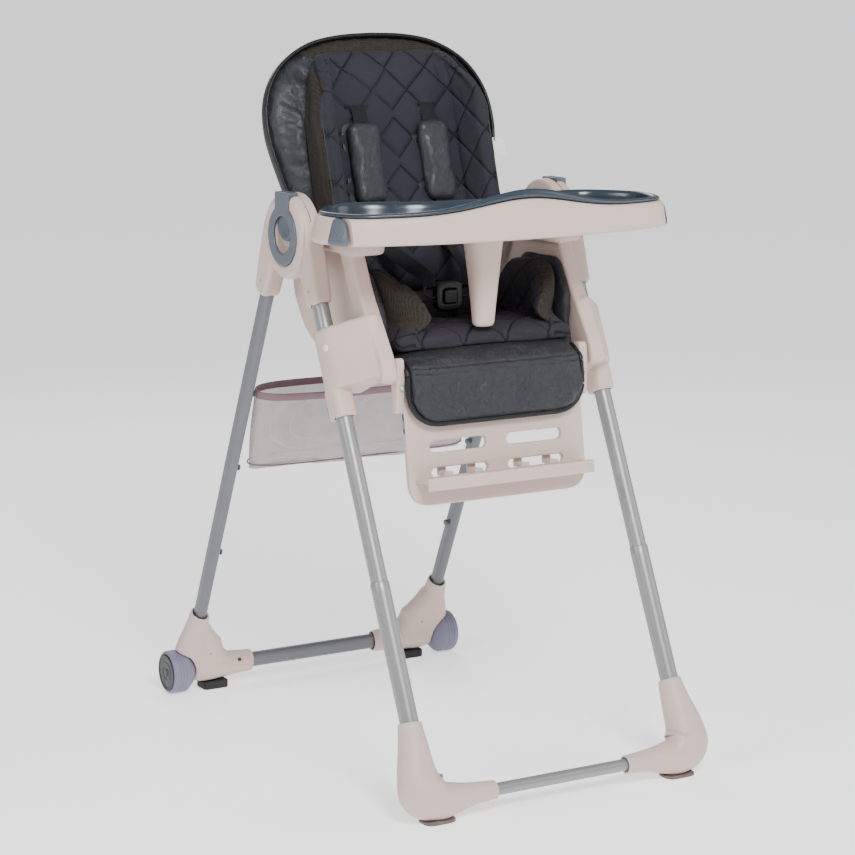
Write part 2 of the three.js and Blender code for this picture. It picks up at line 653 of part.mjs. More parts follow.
function makeTray() {
  const cup = [-195, -158];
  const outer = solid(alongZ(trayPlan(0), TRAY_Z, TRAY_TOP, 4, 4));
  const base = cut(
    outer.subtract(bowl(12, TRAY_FLOOR, 850)),
    alongZ(disc(39.5, ...cup), 804, 820, 0, 10),
    latchBlock(LATCH_X, 0),
    latchBlock(LATCH_X, 0).scale(-1, 1, 1),
  );
  piece(chair, "tray_base", solid(shaped(skin(base))), TAUPE);
  const latch = outer.intersect(solid(latchBlock(LATCH_X + 5, 0.6)));
  pair(chair, "tray_latch", solid(shaped(skin(latch))), SLATE);

  const bottom = bowl(20, TRAY_FLOOR + GAP, 838).add(solid(alongZ(disc(39, ...cup), 804 + GAP, 820, 0, 10)));
  const insert = cut(
    bottom
      .add(solid(alongZ(trayPlan(4), TRAY_TOP + LIP_GAP, LIP_TOP, 1.5, 4)))
      .subtract(bowl(INSERT_WALL, TRAY_FLOOR + 4, 860)),
    alongZ(disc(35.5, ...cup), 808, 830, 0, 10),
  );
  piece(chair, "tray_insert", solid(shaped(skin(insert))), TRAY_BLUE);

  const post = [
    [0, -156, TRAY_Z - GAP, 28, 30],
    [0, -156, 765, 25, 26],
    [0, -157, 715, 20.5, 19],
    [0, -157, 675, 17.5, 13],
    [0, -157, 661, 15, 10.5],
    [0, -157, 657, 9, 6],
  ];
  piece(chair, "crotch_post", lofted(post, 16), TAUPE);
}

makeFrontTubes();
makeFrontFeet();
makeFrontHub();
makeRearTubes();
makeRearFeet();
makeWheels();
makeRearHub();
makeRelease();
makeBasket();
makeCarriers();
makeSeat();
makeBuckle();
makeBackrest();
makeLegRest();
makeTray();

export default chair;
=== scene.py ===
import json
import math

import bmesh
import bpy
import numpy as np
from mathutils import Matrix, Vector, noise
from mathutils.geometry import tessellate_polygon


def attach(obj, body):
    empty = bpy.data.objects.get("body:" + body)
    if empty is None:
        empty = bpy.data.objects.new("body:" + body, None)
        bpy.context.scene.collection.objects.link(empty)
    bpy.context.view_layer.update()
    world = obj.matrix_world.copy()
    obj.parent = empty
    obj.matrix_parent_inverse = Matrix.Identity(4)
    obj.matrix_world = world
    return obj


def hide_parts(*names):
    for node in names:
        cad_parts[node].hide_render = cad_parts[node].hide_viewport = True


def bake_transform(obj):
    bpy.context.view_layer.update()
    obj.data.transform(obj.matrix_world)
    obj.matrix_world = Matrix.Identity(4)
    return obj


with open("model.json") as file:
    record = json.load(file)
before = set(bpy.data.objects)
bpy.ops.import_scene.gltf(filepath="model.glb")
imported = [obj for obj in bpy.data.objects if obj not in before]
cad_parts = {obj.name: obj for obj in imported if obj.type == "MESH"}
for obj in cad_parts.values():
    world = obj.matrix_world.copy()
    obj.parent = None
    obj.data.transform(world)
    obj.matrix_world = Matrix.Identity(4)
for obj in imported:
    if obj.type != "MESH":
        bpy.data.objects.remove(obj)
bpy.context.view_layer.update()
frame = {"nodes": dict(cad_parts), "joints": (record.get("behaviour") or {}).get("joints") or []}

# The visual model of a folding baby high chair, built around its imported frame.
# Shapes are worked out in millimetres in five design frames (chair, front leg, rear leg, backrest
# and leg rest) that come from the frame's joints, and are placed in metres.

MM = 0.001
TINY = 1e-9
SIDES = {"right": 1, "left": -1}

# ---- Design frames ----

joints = {joint["name"]: joint for joint in frame["joints"]}
HUB = Vector(joints["fold"]["pos_m"])
slide_axis = joints["seat_height"]["axis"]
LEAN = math.atan2(-slide_axis[1], -slide_axis[2])
grip_axis = joints["recline_squeeze"]["axis"]
BACK_TILT = math.atan2(grip_axis[1], grip_axis[2])
step_axis = joints["step_pull"]["axis"]
REST_TILT = math.atan2(step_axis[2], -step_axis[1])


def tilted(point, angle):
    return Matrix.Translation(point) @ Matrix.Rotation(angle, 4, "X") @ Matrix.Scale(MM, 4)


CHAIR = tilted(Vector((0, HUB.y - 0.015, 0)), 0)
HUB_FRAME = tilted(HUB, 0)
FRONT_LEG = tilted(HUB, -LEAN)
REAR_LEG = tilted(HUB, LEAN)
BACK = tilted(joints["recline"]["pos_m"], -BACK_TILT)
REST = tilted(joints["legrest_tilt"]["pos_m"], -REST_TILT)

# ---- Driving dimensions, in millimetres ----

LEG_X = 222.5
LEG_OFFSET = 37.3
FRONT_R = 12.5
LOWER_R = 13.8
LEG_TOP = -60.2
TUBE_JOINT = -533
FRONT_LEG_END = -820
REAR_LEG_END = -785
REAR_WIDE = 18
REAR_DEEP = 25
HUB_R = 64
HUB_INNER_X = 206.2
HUB_SPLIT_X = 222.6
HUB_OUTER_X = 240.2
PAST_HUB = 262
BEZEL_R = 44
BEZEL_GAP = 0.7
RING_SEAT_X = 236.7
HOUSING_FACE_X = 237.6
THUMB_R = 27.5
TAB_HALF = 21
BAR_END_X = 150
FRONT_BAR = (-375, 31, 9)
REAR_BAR = (391, 36)
WHEEL_R = 35
WHEEL = (390, 35.6)
BLOCK_TOP = -158
BLOCK_END = -250
SLEEVE_END = -290
TRAY_Z = 797
TRAY_TOP = 835
PANEL_HALF = 151

# ---- Geometry: each shape is (points, faces) ----


def joined(*shapes):
    points, faces, start = [], [], 0
    for own_points, own_faces in shapes:
        points.append(np.asarray(own_points, float))
        faces += [[index + start for index in face] for face in own_faces]
        start += len(own_points)
    return np.concatenate(points), faces


def placed(points, matrix):
    """Points carried by a matrix: a design frame takes them from millimetres to the world's metres."""
    return points @ np.array(matrix.to_3x3()).T + np.array(matrix.translation)


def moved(shape, offset=(0, 0, 0), matrix=None):
    points = np.asarray(shape[0], float)
    if matrix is not None:
        points = placed(points, matrix)
    return points + np.array(offset, float), shape[1]


def mirrored(shape, side):
    return np.asarray(shape[0], float) * (side, 1, 1), shape[1]


def rounded(corners, radius=0.0, steps=6):
    """A closed outline with rounded corners. A corner is (u, v) or (u, v, radius)."""
    points = []
    count = len(corners)
    for i, corner in enumerate(corners):
        here = np.array(corner[:2], float)
        reach = corner[2] if len(corner) > 2 else radius
        if reach <= 0:
            points.append(here)
            continue
        ends = []
        for other in (corners[i - 1], corners[(i + 1) % count]):
            away = np.array(other[:2], float) - here
            ends.append(here + away * min(reach / max(np.linalg.norm(away), TINY), 0.48))
        for t in np.linspace(0, 1, steps + 1):
            points.append((1 - t) ** 2 * ends[0] + 2 * t * (1 - t) * here + t * t * ends[1])
    return np.array(points)


def rectangle(left, right, low, high, radius=0.0, steps=6):
    return rounded([(left, low), (right, low), (right, high), (left, high)], radius, steps)


def both_halves(corners, radius=0.0, steps=6):
    """The same outline on both sides of u = 0, given its right half."""
    left = [(-corner[0], *corner[1:]) for corner in reversed(corners)]
    return rounded([*corners, *left], radius, steps)


def run_lengths(line):
    """How far along a line each of its points is."""
    return np.r_[0, np.cumsum(np.linalg.norm(np.diff(line, axis=0), axis=1))]


def tangents(line):
    along = np.gradient(line, axis=0)
    return along / np.linalg.norm(along, axis=1, keepdims=True)


def resampled(points, count, closed=True):
    loop = np.vstack([points, points[:1]]) if closed else np.asarray(points, float)
    lengths = run_lengths(loop)
    at = np.linspace(0, lengths[-1], count, endpoint=not closed)
    return np.stack([np.interp(at, lengths, loop[:, k]) for k in range(loop.shape[1])], axis=1)


def circle(radius, u=0.0, v=0.0, count=48):
    angles = np.arange(count) * 2 * math.pi / count
    return np.stack([u + radius * np.cos(angles), v + radius * np.sin(angles)], axis=1)


def superellipse(count, u_power, v_power):
    """A unit oval as (u, v), squarer as the powers fall below 1."""
    angles = np.arange(count) * 2 * math.pi / count
    u, v = np.cos(angles), np.sin(angles)
    return np.sign(u) * np.abs(u) ** u_power, np.sign(v) * np.abs(v) ** v_power


def quarter_round(t, least=0.0):
    """Rises from 0 to 1 as t does, as a quarter circle, and stays at 1."""
    return math.sqrt(max(least, 1 - (1 - min(1, t)) ** 2))


def smoothstep(t):
    return t * t * (3 - 2 * t)


def flat_oval(wide, deep, u=0.0, v=0.0, count=48):
    """Round-ended section, "wide" along u and "deep" along v."""
    radius = min(wide, deep) / 2
    points = circle(radius, 0, 0, count)
    shift = np.array([wide / 2 - radius, deep / 2 - radius])
    points = points + np.sign(np.round(points, 6)) * shift
    return points + (u, v)


def anticlockwise(points):
    u, v = points[:, 0], points[:, 1]
    area = np.sum(u * np.roll(v, -1) - np.roll(u, -1) * v)
    return points if area > 0 else points[::-1]


def inset(points, distance):
    along = np.roll(points, -1, 0) - np.roll(points, 1, 0)
    along = along / np.maximum(np.linalg.norm(along, axis=1, keepdims=True), TINY)
    return points + distance * np.stack([-along[:, 1], along[:, 0]], axis=1)


RELAXED_STEP = 2.0


def inset_far(points, distance):
    """An inset in small relaxed steps, so that tight corners don't cross over."""
    count = max(1, math.ceil(abs(distance) / RELAXED_STEP))
    for _ in range(count):
        points = inset(points, distance / count)
        if distance > RELAXED_STEP:
            points = 0.5 * points + 0.25 * (np.roll(points, 1, 0) + np.roll(points, -1, 0))
    return points


PLANES = {"X": (1, 2, 0), "Y": (0, 2, 1), "Z": (0, 1, 2)}


def on_plane(points, level, normal):
    """Outline points as 3-D points: X takes (y, z), Y takes (x, z) and Z takes (x, y)."""
    first, second, third = PLANES[normal]
    placed = np.empty((len(points), 3))
    placed[:, first], placed[:, second], placed[:, third] = points[:, 0], points[:, 1], level
    return placed


def plate(outer, low, high, bevel, normal, holes=(), steps=3):
    """An outline given a thickness, with rounded edges inside and out."""
    angles = [math.pi / 2 * k / steps for k in range(steps + 1)]
    levels = [(bevel * (1 - math.sin(a)), low + bevel * (1 - math.cos(a))) for a in angles]
    levels += [(back, low + high - level) for back, level in reversed(levels)]
    outer = anticlockwise(np.asarray(outer, float))
    loops = [(outer, 1)] + [(anticlockwise(np.asarray(hole, float)), -1) for hole in holes]
    points, faces, caps = [], [], []
    for loop, sign in loops:
        count = len(loop)
        start = sum(len(p) for p in points)
        for back, level in levels:
            points.append(on_plane(inset(loop, sign * back), level, normal))
        for k in range(len(levels) - 1):
            for i in range(count):
                a, b = start + k * count + i, start + k * count + (i + 1) % count
                faces.append([a, b, b + count, a + count])
        caps.append((start, start + (len(levels) - 1) * count, count, sign))
    everything = np.concatenate(points)
    first, second, _ = PLANES[normal]
    for end in (0, 1):
        flat = [[(p[first], p[second], 0) for p in everything[c[end]:c[end] + c[2]]] for c in caps]
        index = [c[end] + i for c in caps for i in range(c[2])]
        triangles = tessellate_polygon([[Vector(p) for p in loop] for loop in flat])
        faces += [[index[i] for i in triangle] for triangle in triangles]
    return everything, faces


def cutter(outline, low, high, normal):
    """A plain block for a boolean, with edges as good as sharp."""
    return plate(outline, low, high, 0.01, normal, steps=1)


def loft(rings, cap=(True, True), closed=True):
    """A skin through rings of equal point count."""
    rings = [np.asarray(ring, float) for ring in rings]
    count = len(rings[0])
    faces = []
    for k in range(len(rings) - 1):
        for i in range(count if closed else count - 1):
            a, b = k * count + i, k * count + (i + 1) % count
            faces.append([a, b, b + count, a + count])
    points = np.concatenate(rings)
    for wanted, start in zip(cap, (0, (len(rings) - 1) * count)):
        if wanted:
            centre = points[start:start + count].mean(axis=0)
            faces += [[start + i, start + (i + 1) % count, len(points)] for i in range(count)]
            points = np.vstack([points, centre])
    return points, faces


def closed_loft(rings):
    """A skin whose last ring joins its first."""
    points, faces = loft(rings + [rings[0]], cap=(False, False))
    last = len(rings[0]) * len(rings)
    return points[:last], [[i % last for i in face] for face in faces]


def lathe(profile, segments=64, y=0.0, z=0.0):
    """A turned shape about the X axis through (y, z). The profile is (x, radius)."""
    rings = [on_plane(circle(max(radius, 0.01), y, z, segments), x, "X") for x, radius in profile]
    return loft(rings)


def lathe_z(profile, segments=48, x=0.0, y=0.0):
    return loft([on_plane(circle(max(r, 0.01), x, y, segments), z, "Z") for z, r in profile])


def ellipsoid_cap(radius, height, rings=5):
    return [(height * math.sin(a), radius * math.cos(a)) for a in np.linspace(0, math.pi / 2, rings)]


def sweep(path, section, closed=False, up=(0, 0, 1), scale=None):
    """A section (u across, v up) carried along a path."""
    path = np.asarray(path, float)
    count = len(path)
    if closed:
        along = np.roll(path, -1, 0) - np.roll(path, 1, 0)
    else:
        along = np.gradient(path, axis=0)
    along /= np.maximum(np.linalg.norm(along, axis=1, keepdims=True), TINY)
    guide = np.array(up, float)
    rings = []
    for i in range(count):
        across = np.cross(along[i], guide)
        if np.linalg.norm(across) < 0.2:
            across = np.cross(along[i], guide + (0.3, 0.4, 0.1))
        across /= np.linalg.norm(across)
        lift = np.cross(across, along[i])
        size = 1.0 if scale is None else scale[i]
        rings.append(path[i] + size * (section[:, :1] * across + section[:, 1:] * lift))
    return closed_loft(rings) if closed else loft(rings)


def catmull(points, count, closed=False):
    """A smooth curve through a few points, as "count" points."""
    p = np.asarray(points, float)
    n = len(p)
    ahead = [p[(i + 1) % n] if closed else p[min(i + 1, n - 1)] for i in range(n)]
    behind = [p[(i - 1) % n] if closed else p[max(i - 1, 0)] for i in range(n)]
    slopes = (np.array(ahead) - np.array(behind)) / 2
    spans = n if closed else n - 1
    out = []
    for t in np.linspace(0, spans, count, endpoint=not closed):
        i = min(int(t), spans - 1)
        s = t - i
        a, b = p[i], p[(i + 1) % n]
        out.append(
            (2 * s**3 - 3 * s**2 + 1) * a
            + (s**3 - 2 * s**2 + s) * slopes[i]
            + (3 * s**2 - 2 * s**3) * b
            + (s**3 - s**2) * slopes[(i + 1) % n]
        )
    return np.array(out)


# ---- Objects ----


def raw_object(name, shape, matrix=None):
    points = np.asarray(shape[0], float)
    if matrix is not None:
        points = placed(points, matrix)
    mesh = bpy.data.meshes.new(name)
    mesh.from_pydata(points.tolist(), [], shape[1])
    obj = bpy.data.objects.new(name, mesh)
    bpy.context.scene.collection.objects.link(obj)
    tidy_mesh(mesh)
    return obj


def tidy_mesh(mesh, merge=2e-6):
    work = bmesh.new()
    work.from_mesh(mesh)
    bmesh.ops.remove_doubles(work, verts=work.verts, dist=merge)
    bmesh.ops.dissolve_degenerate(work, edges=work.edges, dist=merge)
    bmesh.ops.recalc_face_normals(work, faces=work.faces)
    work.to_mesh(mesh)
    work.free()


def applied(obj):
    """The object with its modifiers made real."""
    graph = bpy.context.evaluated_depsgraph_get()
    mesh = bpy.data.meshes.new_from_object(obj.evaluated_get(graph))
    obj.modifiers.clear()
    old = obj.data
    obj.data = mesh
    bpy.data.meshes.remove(old)
    return obj


def discard(obj):
    mesh = obj.data
    bpy.data.objects.remove(obj)
    bpy.data.meshes.remove(mesh)


def boolean(obj, operation, *tools):
    """The object with each tool taken away, added, or kept in common. The tools are used up."""
    for tool in tools:
        modifier = obj.modifiers.new("boolean", "BOOLEAN")
        modifier.operation = operation
        modifier.solver = "EXACT"
        modifier.object = tool
        applied(obj)
        discard(tool)
    return obj


def remeshed(obj, voxel):
    """Rebuilt as one even skin. The voxel is in millimetres."""
    remesh = obj.modifiers.new("remesh", "REMESH")
    remesh.mode = "VOXEL"
    remesh.voxel_size = voxel * MM
    return applied(obj)


def smoothed(obj, times, factor=0.5):
    if times:
        smooth = obj.modifiers.new("smooth", "SMOOTH")
        smooth.factor = factor
        smooth.iterations = times
        applied(obj)
    return obj


def subdivided(obj, levels=1):
    subsurf = obj.modifiers.new("subdivide", "SUBSURF")
    subsurf.levels = levels
    subsurf.render_levels = levels
    return applied(obj)


def fused(name, shapes, matrix, voxel, cutters=(), soft=3):
    """Overlapping shapes moulded into one skin, with blended edges. A cutter is (shape, matrix)."""
    obj = remeshed(raw_object(name, joined(*shapes), matrix), voxel)
    if cutters:
        boolean(obj, "DIFFERENCE", *[raw_object("cutter", shape, place) for shape, place in cutters])
        remeshed(obj, voxel)
    return smoothed(obj, soft)


def shaded(obj, sharp=32.0):
    mesh = obj.data
    mesh.polygons.foreach_set("use_smooth", [True] * len(mesh.polygons))
    mesh.set_sharp_from_angle(angle=math.radians(sharp))
    return obj


def dressed(obj, material, body, nodes=(), sharp=32.0):
    """Gives a finished piece its material and smooth shading, hangs it from its body's empty (a piece given two
    bodies only has its transform baked) and hides the CAD nodes that it stands for.
    """
    if not obj.data.materials:
        obj.data.materials.append(MATERIALS[material][0])
    shaded(obj, sharp)
    if isinstance(body, str):
        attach(obj, body)
    else:
        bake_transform(obj)
    if nodes:
        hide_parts(*nodes)
    return obj


def piece(name, shape, matrix, material, body, nodes=(), sharp=32.0):
    return dressed(raw_object(name, shape, matrix), material, body, nodes, sharp)


def paired(name, word, shape, *rest, **named):
    """One of a left and right pair, given the shape of the right one."""
    return piece(f"{name}_{word}", mirrored(shape, SIDES[word]), *rest, **named)


# ---- Materials ----


def srgb(red, green, blue):
    """A linear colour from 0-255 display values."""
    values = [c / 255 for c in (red, green, blue)]
    return [c / 12.92 if c <= 0.04045 else ((c + 0.055) / 1.055) ** 2.4 for c in values] + [1]


class Nodes:
    """A short way to write a node tree."""

    def __init__(self, name):
        self.material = bpy.data.materials.new(name)
        self.material.use_nodes = True
        self.tree = self.material.node_tree
        self.shader = self.tree.nodes["Principled BSDF"]
        self.coordinates = self.add("ShaderNodeTexCoord").outputs["Object"]

    def add(self, kind, inputs=None, **settings):
        node = self.tree.nodes.new(kind)
        for key, value in settings.items():
            setattr(node, key, value)
        for key, value in (inputs or {}).items():
            if isinstance(value, bpy.types.NodeSocket):
                self.tree.links.new(value, node.inputs[key])
            else:
                node.inputs[key].default_value = value
        return node

    def noise(self, scale, detail=3.0, rough=0.55):
        settings = {"Vector": self.coordinates, "Scale": scale, "Detail": detail, "Roughness": rough}
        return self.add("ShaderNodeTexNoise", settings).outputs["Fac"]

    def voronoi(self, scale, feature="F1", vector=None, randomness=1.0):
        settings = {"Vector": vector or self.coordinates, "Scale": scale, "Randomness": randomness}
        return self.add("ShaderNodeTexVoronoi", settings, feature=feature).outputs["Distance"]

    def wave(self, scale, direction, distortion=0.0):
        settings = {"Vector": self.coordinates, "Scale": scale, "Distortion": distortion}
        node = self.add("ShaderNodeTexWave", settings, wave_type="BANDS", bands_direction=direction)
        return node.outputs["Fac"]

    def math(self, operation, a, b=0.0):
        return self.add("ShaderNodeMath", {0: a, 1: b}, operation=operation).outputs[0]

    def between(self, value, low, high, from_low=0.0, from_high=1.0):
        settings = {
            "Value": value, "From Min": from_low, "From Max": from_high, "To Min": low, "To Max": high,
        }
        return self.add("ShaderNodeMapRange", settings).outputs["Result"]

    def mix(self, factor, first, second):
        node = self.add("ShaderNodeMix", data_type="RGBA")
        for socket, value in ((0, factor), (6, first), (7, second)):
            if isinstance(value, bpy.types.NodeSocket):
                self.tree.links.new(value, node.inputs[socket])
            else:
                node.inputs[socket].default_value = value
        return node.outputs[2]

    def bump(self, height, strength, distance, below=None):
        settings = {"Height": height, "Strength": strength, "Distance": distance}
        if below is not None:
            settings["Normal"] = below
        return self.add("ShaderNodeBump", settings).outputs["Normal"]

    def edges(self):
        """Near 1 on worn convex edges, 0 elsewhere."""
        pointed = self.add("ShaderNodeNewGeometry").outputs["Pointiness"]
        return self.between(pointed, 0.0, 1.0, 0.52, 0.60)

    def connect(self, **sockets):
        names = {"color": "Base Color", "rough": "Roughness", "normal": "Normal", "alpha": "Alpha"}
        for key, value in sockets.items():
            socket = self.shader.inputs[names[key]]
            if isinstance(value, bpy.types.NodeSocket):
                self.tree.links.new(value, socket)
            else:
                socket.default_value = value

    def shine(self, **values):
        for key, value in values.items():
            self.shader.inputs[key.replace("_", " ").title().replace("Ior", "IOR")].default_value = value


def scaled(color, share):
    """The colour, darker or brighter."""
    return [c * share for c in color[:3]] + [1]


def moulded_plastic(name, color, rough, grain=1.0, wear=0.5):
    """Injection-moulded plastic: a fine spark-eroded grain, faint flow marks and paler edges."""
    n = Nodes(name)
    flow = n.noise(14.0, 3.0)
    fleck = n.noise(420.0, 2.0)
    tone = n.mix(n.between(flow, 0.0, 1.0, 0.3, 0.7), scaled(color, 0.95), color)
    tone = n.mix(n.between(fleck, 0.0, 0.35, 0.45, 0.75), tone, scaled(color, 0.93))
    tone = n.mix(n.math("MULTIPLY", n.edges(), wear), tone, scaled(color, 1.25))
    rough_map = n.between(n.noise(55.0, 4.0), rough - 0.05, rough + 0.07, 0.3, 0.7)
    grains = n.bump(n.noise(1500.0, 2.0), 0.12 * grain, 0.0004)
    n.connect(color=tone, rough=rough_map, normal=n.bump(flow, 0.05, 0.002, grains))
    return n.material


def painted_tube(name, color, rough=0.36):
    """Silver paint over drawn steel tube: metal flakes, a fine paint peel and small scuffs."""
    n = Nodes(name)
    flakes = n.voronoi(2600.0)
    scuffs = n.between(n.noise(38.0, 6.0, 0.7), 0.0, 1.0, 0.58, 0.72)
    tone = n.mix(n.between(flakes, 0.0, 0.5), color, scaled(color, 0.84))
    tone = n.mix(n.math("MULTIPLY", scuffs, 0.25), tone, scaled(color, 0.75))
    rough_map = n.between(n.noise(90.0, 4.0), rough - 0.05, rough + 0.08, 0.3, 0.7)
    peel = n.bump(n.noise(500.0, 2.0), 0.06, 0.0004)
    n.connect(color=tone, rough=rough_map, normal=n.bump(flakes, 0.04, 0.0002, peel))
    n.shine(metallic=0.45)
    return n.material


def leatherette(name, color, rough=0.44, grain=0.5, fold=0.3, fold_scale=26.0):
    """Grained coated cloth: small pebbles between fine creases, with rubbed tops."""
    n = Nodes(name)
    warp = n.add(
        "ShaderNodeTexNoise", {"Vector": n.coordinates, "Scale": 90.0, "Detail": 2.0},
    ).outputs["Color"]
    wander = (0.004, 0.004, 0.004)
    shifted = n.add("ShaderNodeVectorMath", {0: warp, 1: wander, 2: n.coordinates}, operation="MULTIPLY_ADD")
    pebbles = n.voronoi(620.0, "DISTANCE_TO_EDGE", shifted.outputs[0])
    crease = n.between(pebbles, 0.0, 1.0, 0.0, 0.16)
    cloudy = n.noise(16.0, 4.0)
    tone = n.mix(n.between(cloudy, 0.0, 1.0, 0.3, 0.7), scaled(color, 0.86), scaled(color, 1.16))
    tone = n.mix(crease, scaled(color, 0.6), tone)
    tone = n.mix(n.math("MULTIPLY", n.edges(), 0.3), tone, scaled(color, 1.9))
    rough_map = n.between(n.noise(60.0, 4.0), rough - 0.07, rough + 0.09, 0.3, 0.7)
    folds = n.bump(n.noise(fold_scale, 3.0), fold, 0.007)
    n.connect(color=tone, rough=rough_map, normal=n.bump(crease, grain, 0.0004, folds))
    n.shine(sheen_weight=0.03, sheen_roughness=0.4, specular_ior_level=0.32)
    return n.material


def knitted(name, color, pitch=0.0011, rough=0.78, sheen=0.18, contrast=0.35, depth=0.5):
    """Close woven or knitted cloth: threads one way over threads the other, with slubs and lint."""
    n = Nodes(name)
    # A wave node repeats every 2 pi / 20 of its scaled length.
    scale = 2 * math.pi / (20 * pitch)
    threads = n.math(
        "MAXIMUM", n.wave(scale, "Z", 0.6),
        n.math("MAXIMUM", n.wave(scale, "X", 0.6), n.wave(scale, "Y", 0.6)),
    )
    slub = n.noise(260.0, 3.0)
    cloudy = n.noise(12.0, 3.0)
    tone = n.mix(threads, scaled(color, 1 - contrast), scaled(color, 1 + contrast * 0.5))
    tone = n.mix(n.between(cloudy, 0.0, 0.35, 0.35, 0.7), tone, scaled(color, 0.8))
    tone = n.mix(n.between(slub, 0.0, 0.4, 0.6, 0.8), tone, scaled(color, 1.5))
    rough_map = n.between(slub, rough - 0.06, rough + 0.08, 0.3, 0.7)
    n.connect(color=tone, rough=rough_map, normal=n.bump(threads, depth, 0.0005))
    n.shine(sheen_weight=sheen * 0.3, sheen_roughness=0.5, specular_ior_level=0.14)
    return n.material


def quilted(name, color, matrix, back):
    """Fine knit sewn down in diamonds: each groove is coloured dark, in dashes of dark stitching thread with
    painted shade of the groove between and beside them.
    """
    material = knitted(name, color, 0.0009, 0.74, 0.1, 0.3, 0.35)
    n = Nodes.__new__(Nodes)
    n.material, n.tree = material, material.node_tree
    n.shader = n.tree.nodes["Principled BSDF"]
    n.coordinates = n.tree.nodes["Texture Coordinate"].outputs["Object"]
    away = n.add(
        "ShaderNodeVectorMath", {0: n.coordinates, 1: matrix.translation}, operation="SUBTRACT",
    ).outputs[0]
    turn = matrix.to_3x3().normalized()

    def along(axis):
        product = n.add("ShaderNodeVectorMath", {0: away, 1: axis}, operation="DOT_PRODUCT")
        return n.math("MULTIPLY", product.outputs["Value"], 1 / MM)

    x, y, z = [along(turn.col[k]) for k in range(3)]
    wide = n.math("ABSOLUTE", x)

    def nearest(u, v, pitch):
        lines = []
        for sign in ("ADD", "SUBTRACT"):
            turns = n.math("ADD", n.math(sign, u, v), 0.5)
            off = n.math("SUBTRACT", n.math("FRACT", turns), 0.5)
            lines.append(n.math("MULTIPLY", n.math("ABSOLUTE", off), pitch))
        return n.math("MINIMUM", *lines)

    if back:
        over = n.math("MAXIMUM", n.math("SUBTRACT", n.math("MULTIPLY", y, -1.0), WING_START), 0.0)
        spread = n.math("ADD", wide, n.math("MULTIPLY", over, WING_SHARE))
        rise = n.math("SUBTRACT", z, DIAMOND_AT)
        away_mm = nearest(
            n.math("DIVIDE", spread, DIAMOND[0]), n.math("DIVIDE", rise, DIAMOND[1]), DIAMOND_STEP,
        )
    else:
        base = nearest(n.math("DIVIDE", x, SEAT_DIAMOND[0]), n.math("DIVIDE", y, SEAT_DIAMOND[1]), SEAT_STEP)
        side = nearest(n.math("DIVIDE", y, SIDE_DIAMOND[0]), n.math("DIVIDE", z, SIDE_DIAMOND[1]), SIDE_STEP)
        low = n.math("MULTIPLY", n.math("LESS_THAN", z, BASE_TOP), n.math("LESS_THAN", wide, BASE_HALF))
        away_mm = n.between(low, side, base)
    groove = n.between(away_mm, 1.0, 0.0, 0.3, 1.7)
    stitch = n.math("GREATER_THAN", n.math("FRACT", n.math("DIVIDE", z if back else y, 4.2)), 0.34)
    old = n.shader.inputs["Base Color"].links[0].from_socket
    # Painted shade: the groove band is darkened to 12-30 per cent of the fabric; only the darkest dashes stand
    # for thread.
    thread = n.mix(stitch, scaled(color, 0.12), scaled(color, 0.3))
    below = n.shader.inputs["Normal"].links[0].from_socket
    n.connect(color=n.mix(groove, old, thread), normal=n.bump(groove, -0.9, 0.0015, below))
    return material


def spacer_mesh(name, color, hole, pitch=0.0034):
    """Three-dimensional air mesh: a net of small round holes, each painted much darker inside as painted shade.
    """
    n = Nodes(name)
    cells = n.voronoi(1 / pitch, "F1", randomness=0.25)
    inside = n.between(cells, 1.0, 0.0, 0.26, 0.42)
    slub = n.noise(300.0, 3.0)
    # Painted shade: the hole colour darkens the inside of each hole.
    tone = n.mix(inside, color, hole)
    tone = n.mix(n.between(slub, 0.0, 0.3, 0.5, 0.8), tone, scaled(color, 1.6))
    n.connect(color=tone, rough=n.between(slub, 0.75, 0.9), normal=n.bump(inside, -0.8, 0.0008))
    n.shine(sheen_weight=0.02, specular_ior_level=0.12)
    return n.material


def open_net(name, color, pitch=0.0017):
    """Thin net that light passes: fine threads, denser where the noise gathers them."""
    n = Nodes(name)
    scale = 2 * math.pi / (20 * pitch)
    threads = n.math("MAXIMUM", n.wave(scale, "Z"), n.wave(scale, "X"))
    gathered = n.noise(20.0, 3.0)
    solid = n.between(threads, 0.42, 0.92, 0.35, 0.8)
    tone = n.mix(n.between(gathered, 0.0, 1.0, 0.3, 0.7), scaled(color, 0.86), color)
    alpha = n.math("MULTIPLY", solid, n.between(gathered, 0.86, 1.05, 0.3, 0.7))
    n.connect(
        color=tone, rough=n.between(gathered, 0.72, 0.88), alpha=alpha, normal=n.bump(threads, 0.4, 0.0004),
    )
    n.shine(sheen_weight=0.1)
    return n.material


def rubber(name, color, rough=0.75):
    n = Nodes(name)
    dust = n.noise(120.0, 5.0)
    tone = n.mix(n.between(dust, 0.0, 0.5, 0.5, 0.8), color, scaled(color, 3))
    n.connect(
        color=tone, rough=n.between(dust, rough - 0.1, rough + 0.1),
        normal=n.bump(n.noise(900.0), 0.3, 0.0004),
    )
    return n.material


def turned_steel(name, color):
    n = Nodes(name)
    rings = n.wave(900.0, "X", 2.0)
    n.connect(
        color=n.mix(n.noise(80.0), scaled(color, 0.8), color), rough=n.between(rings, 0.25, 0.4),
        normal=n.bump(rings, 0.08, 0.0002),
    )
    n.shine(metallic=1.0)
    return n.material


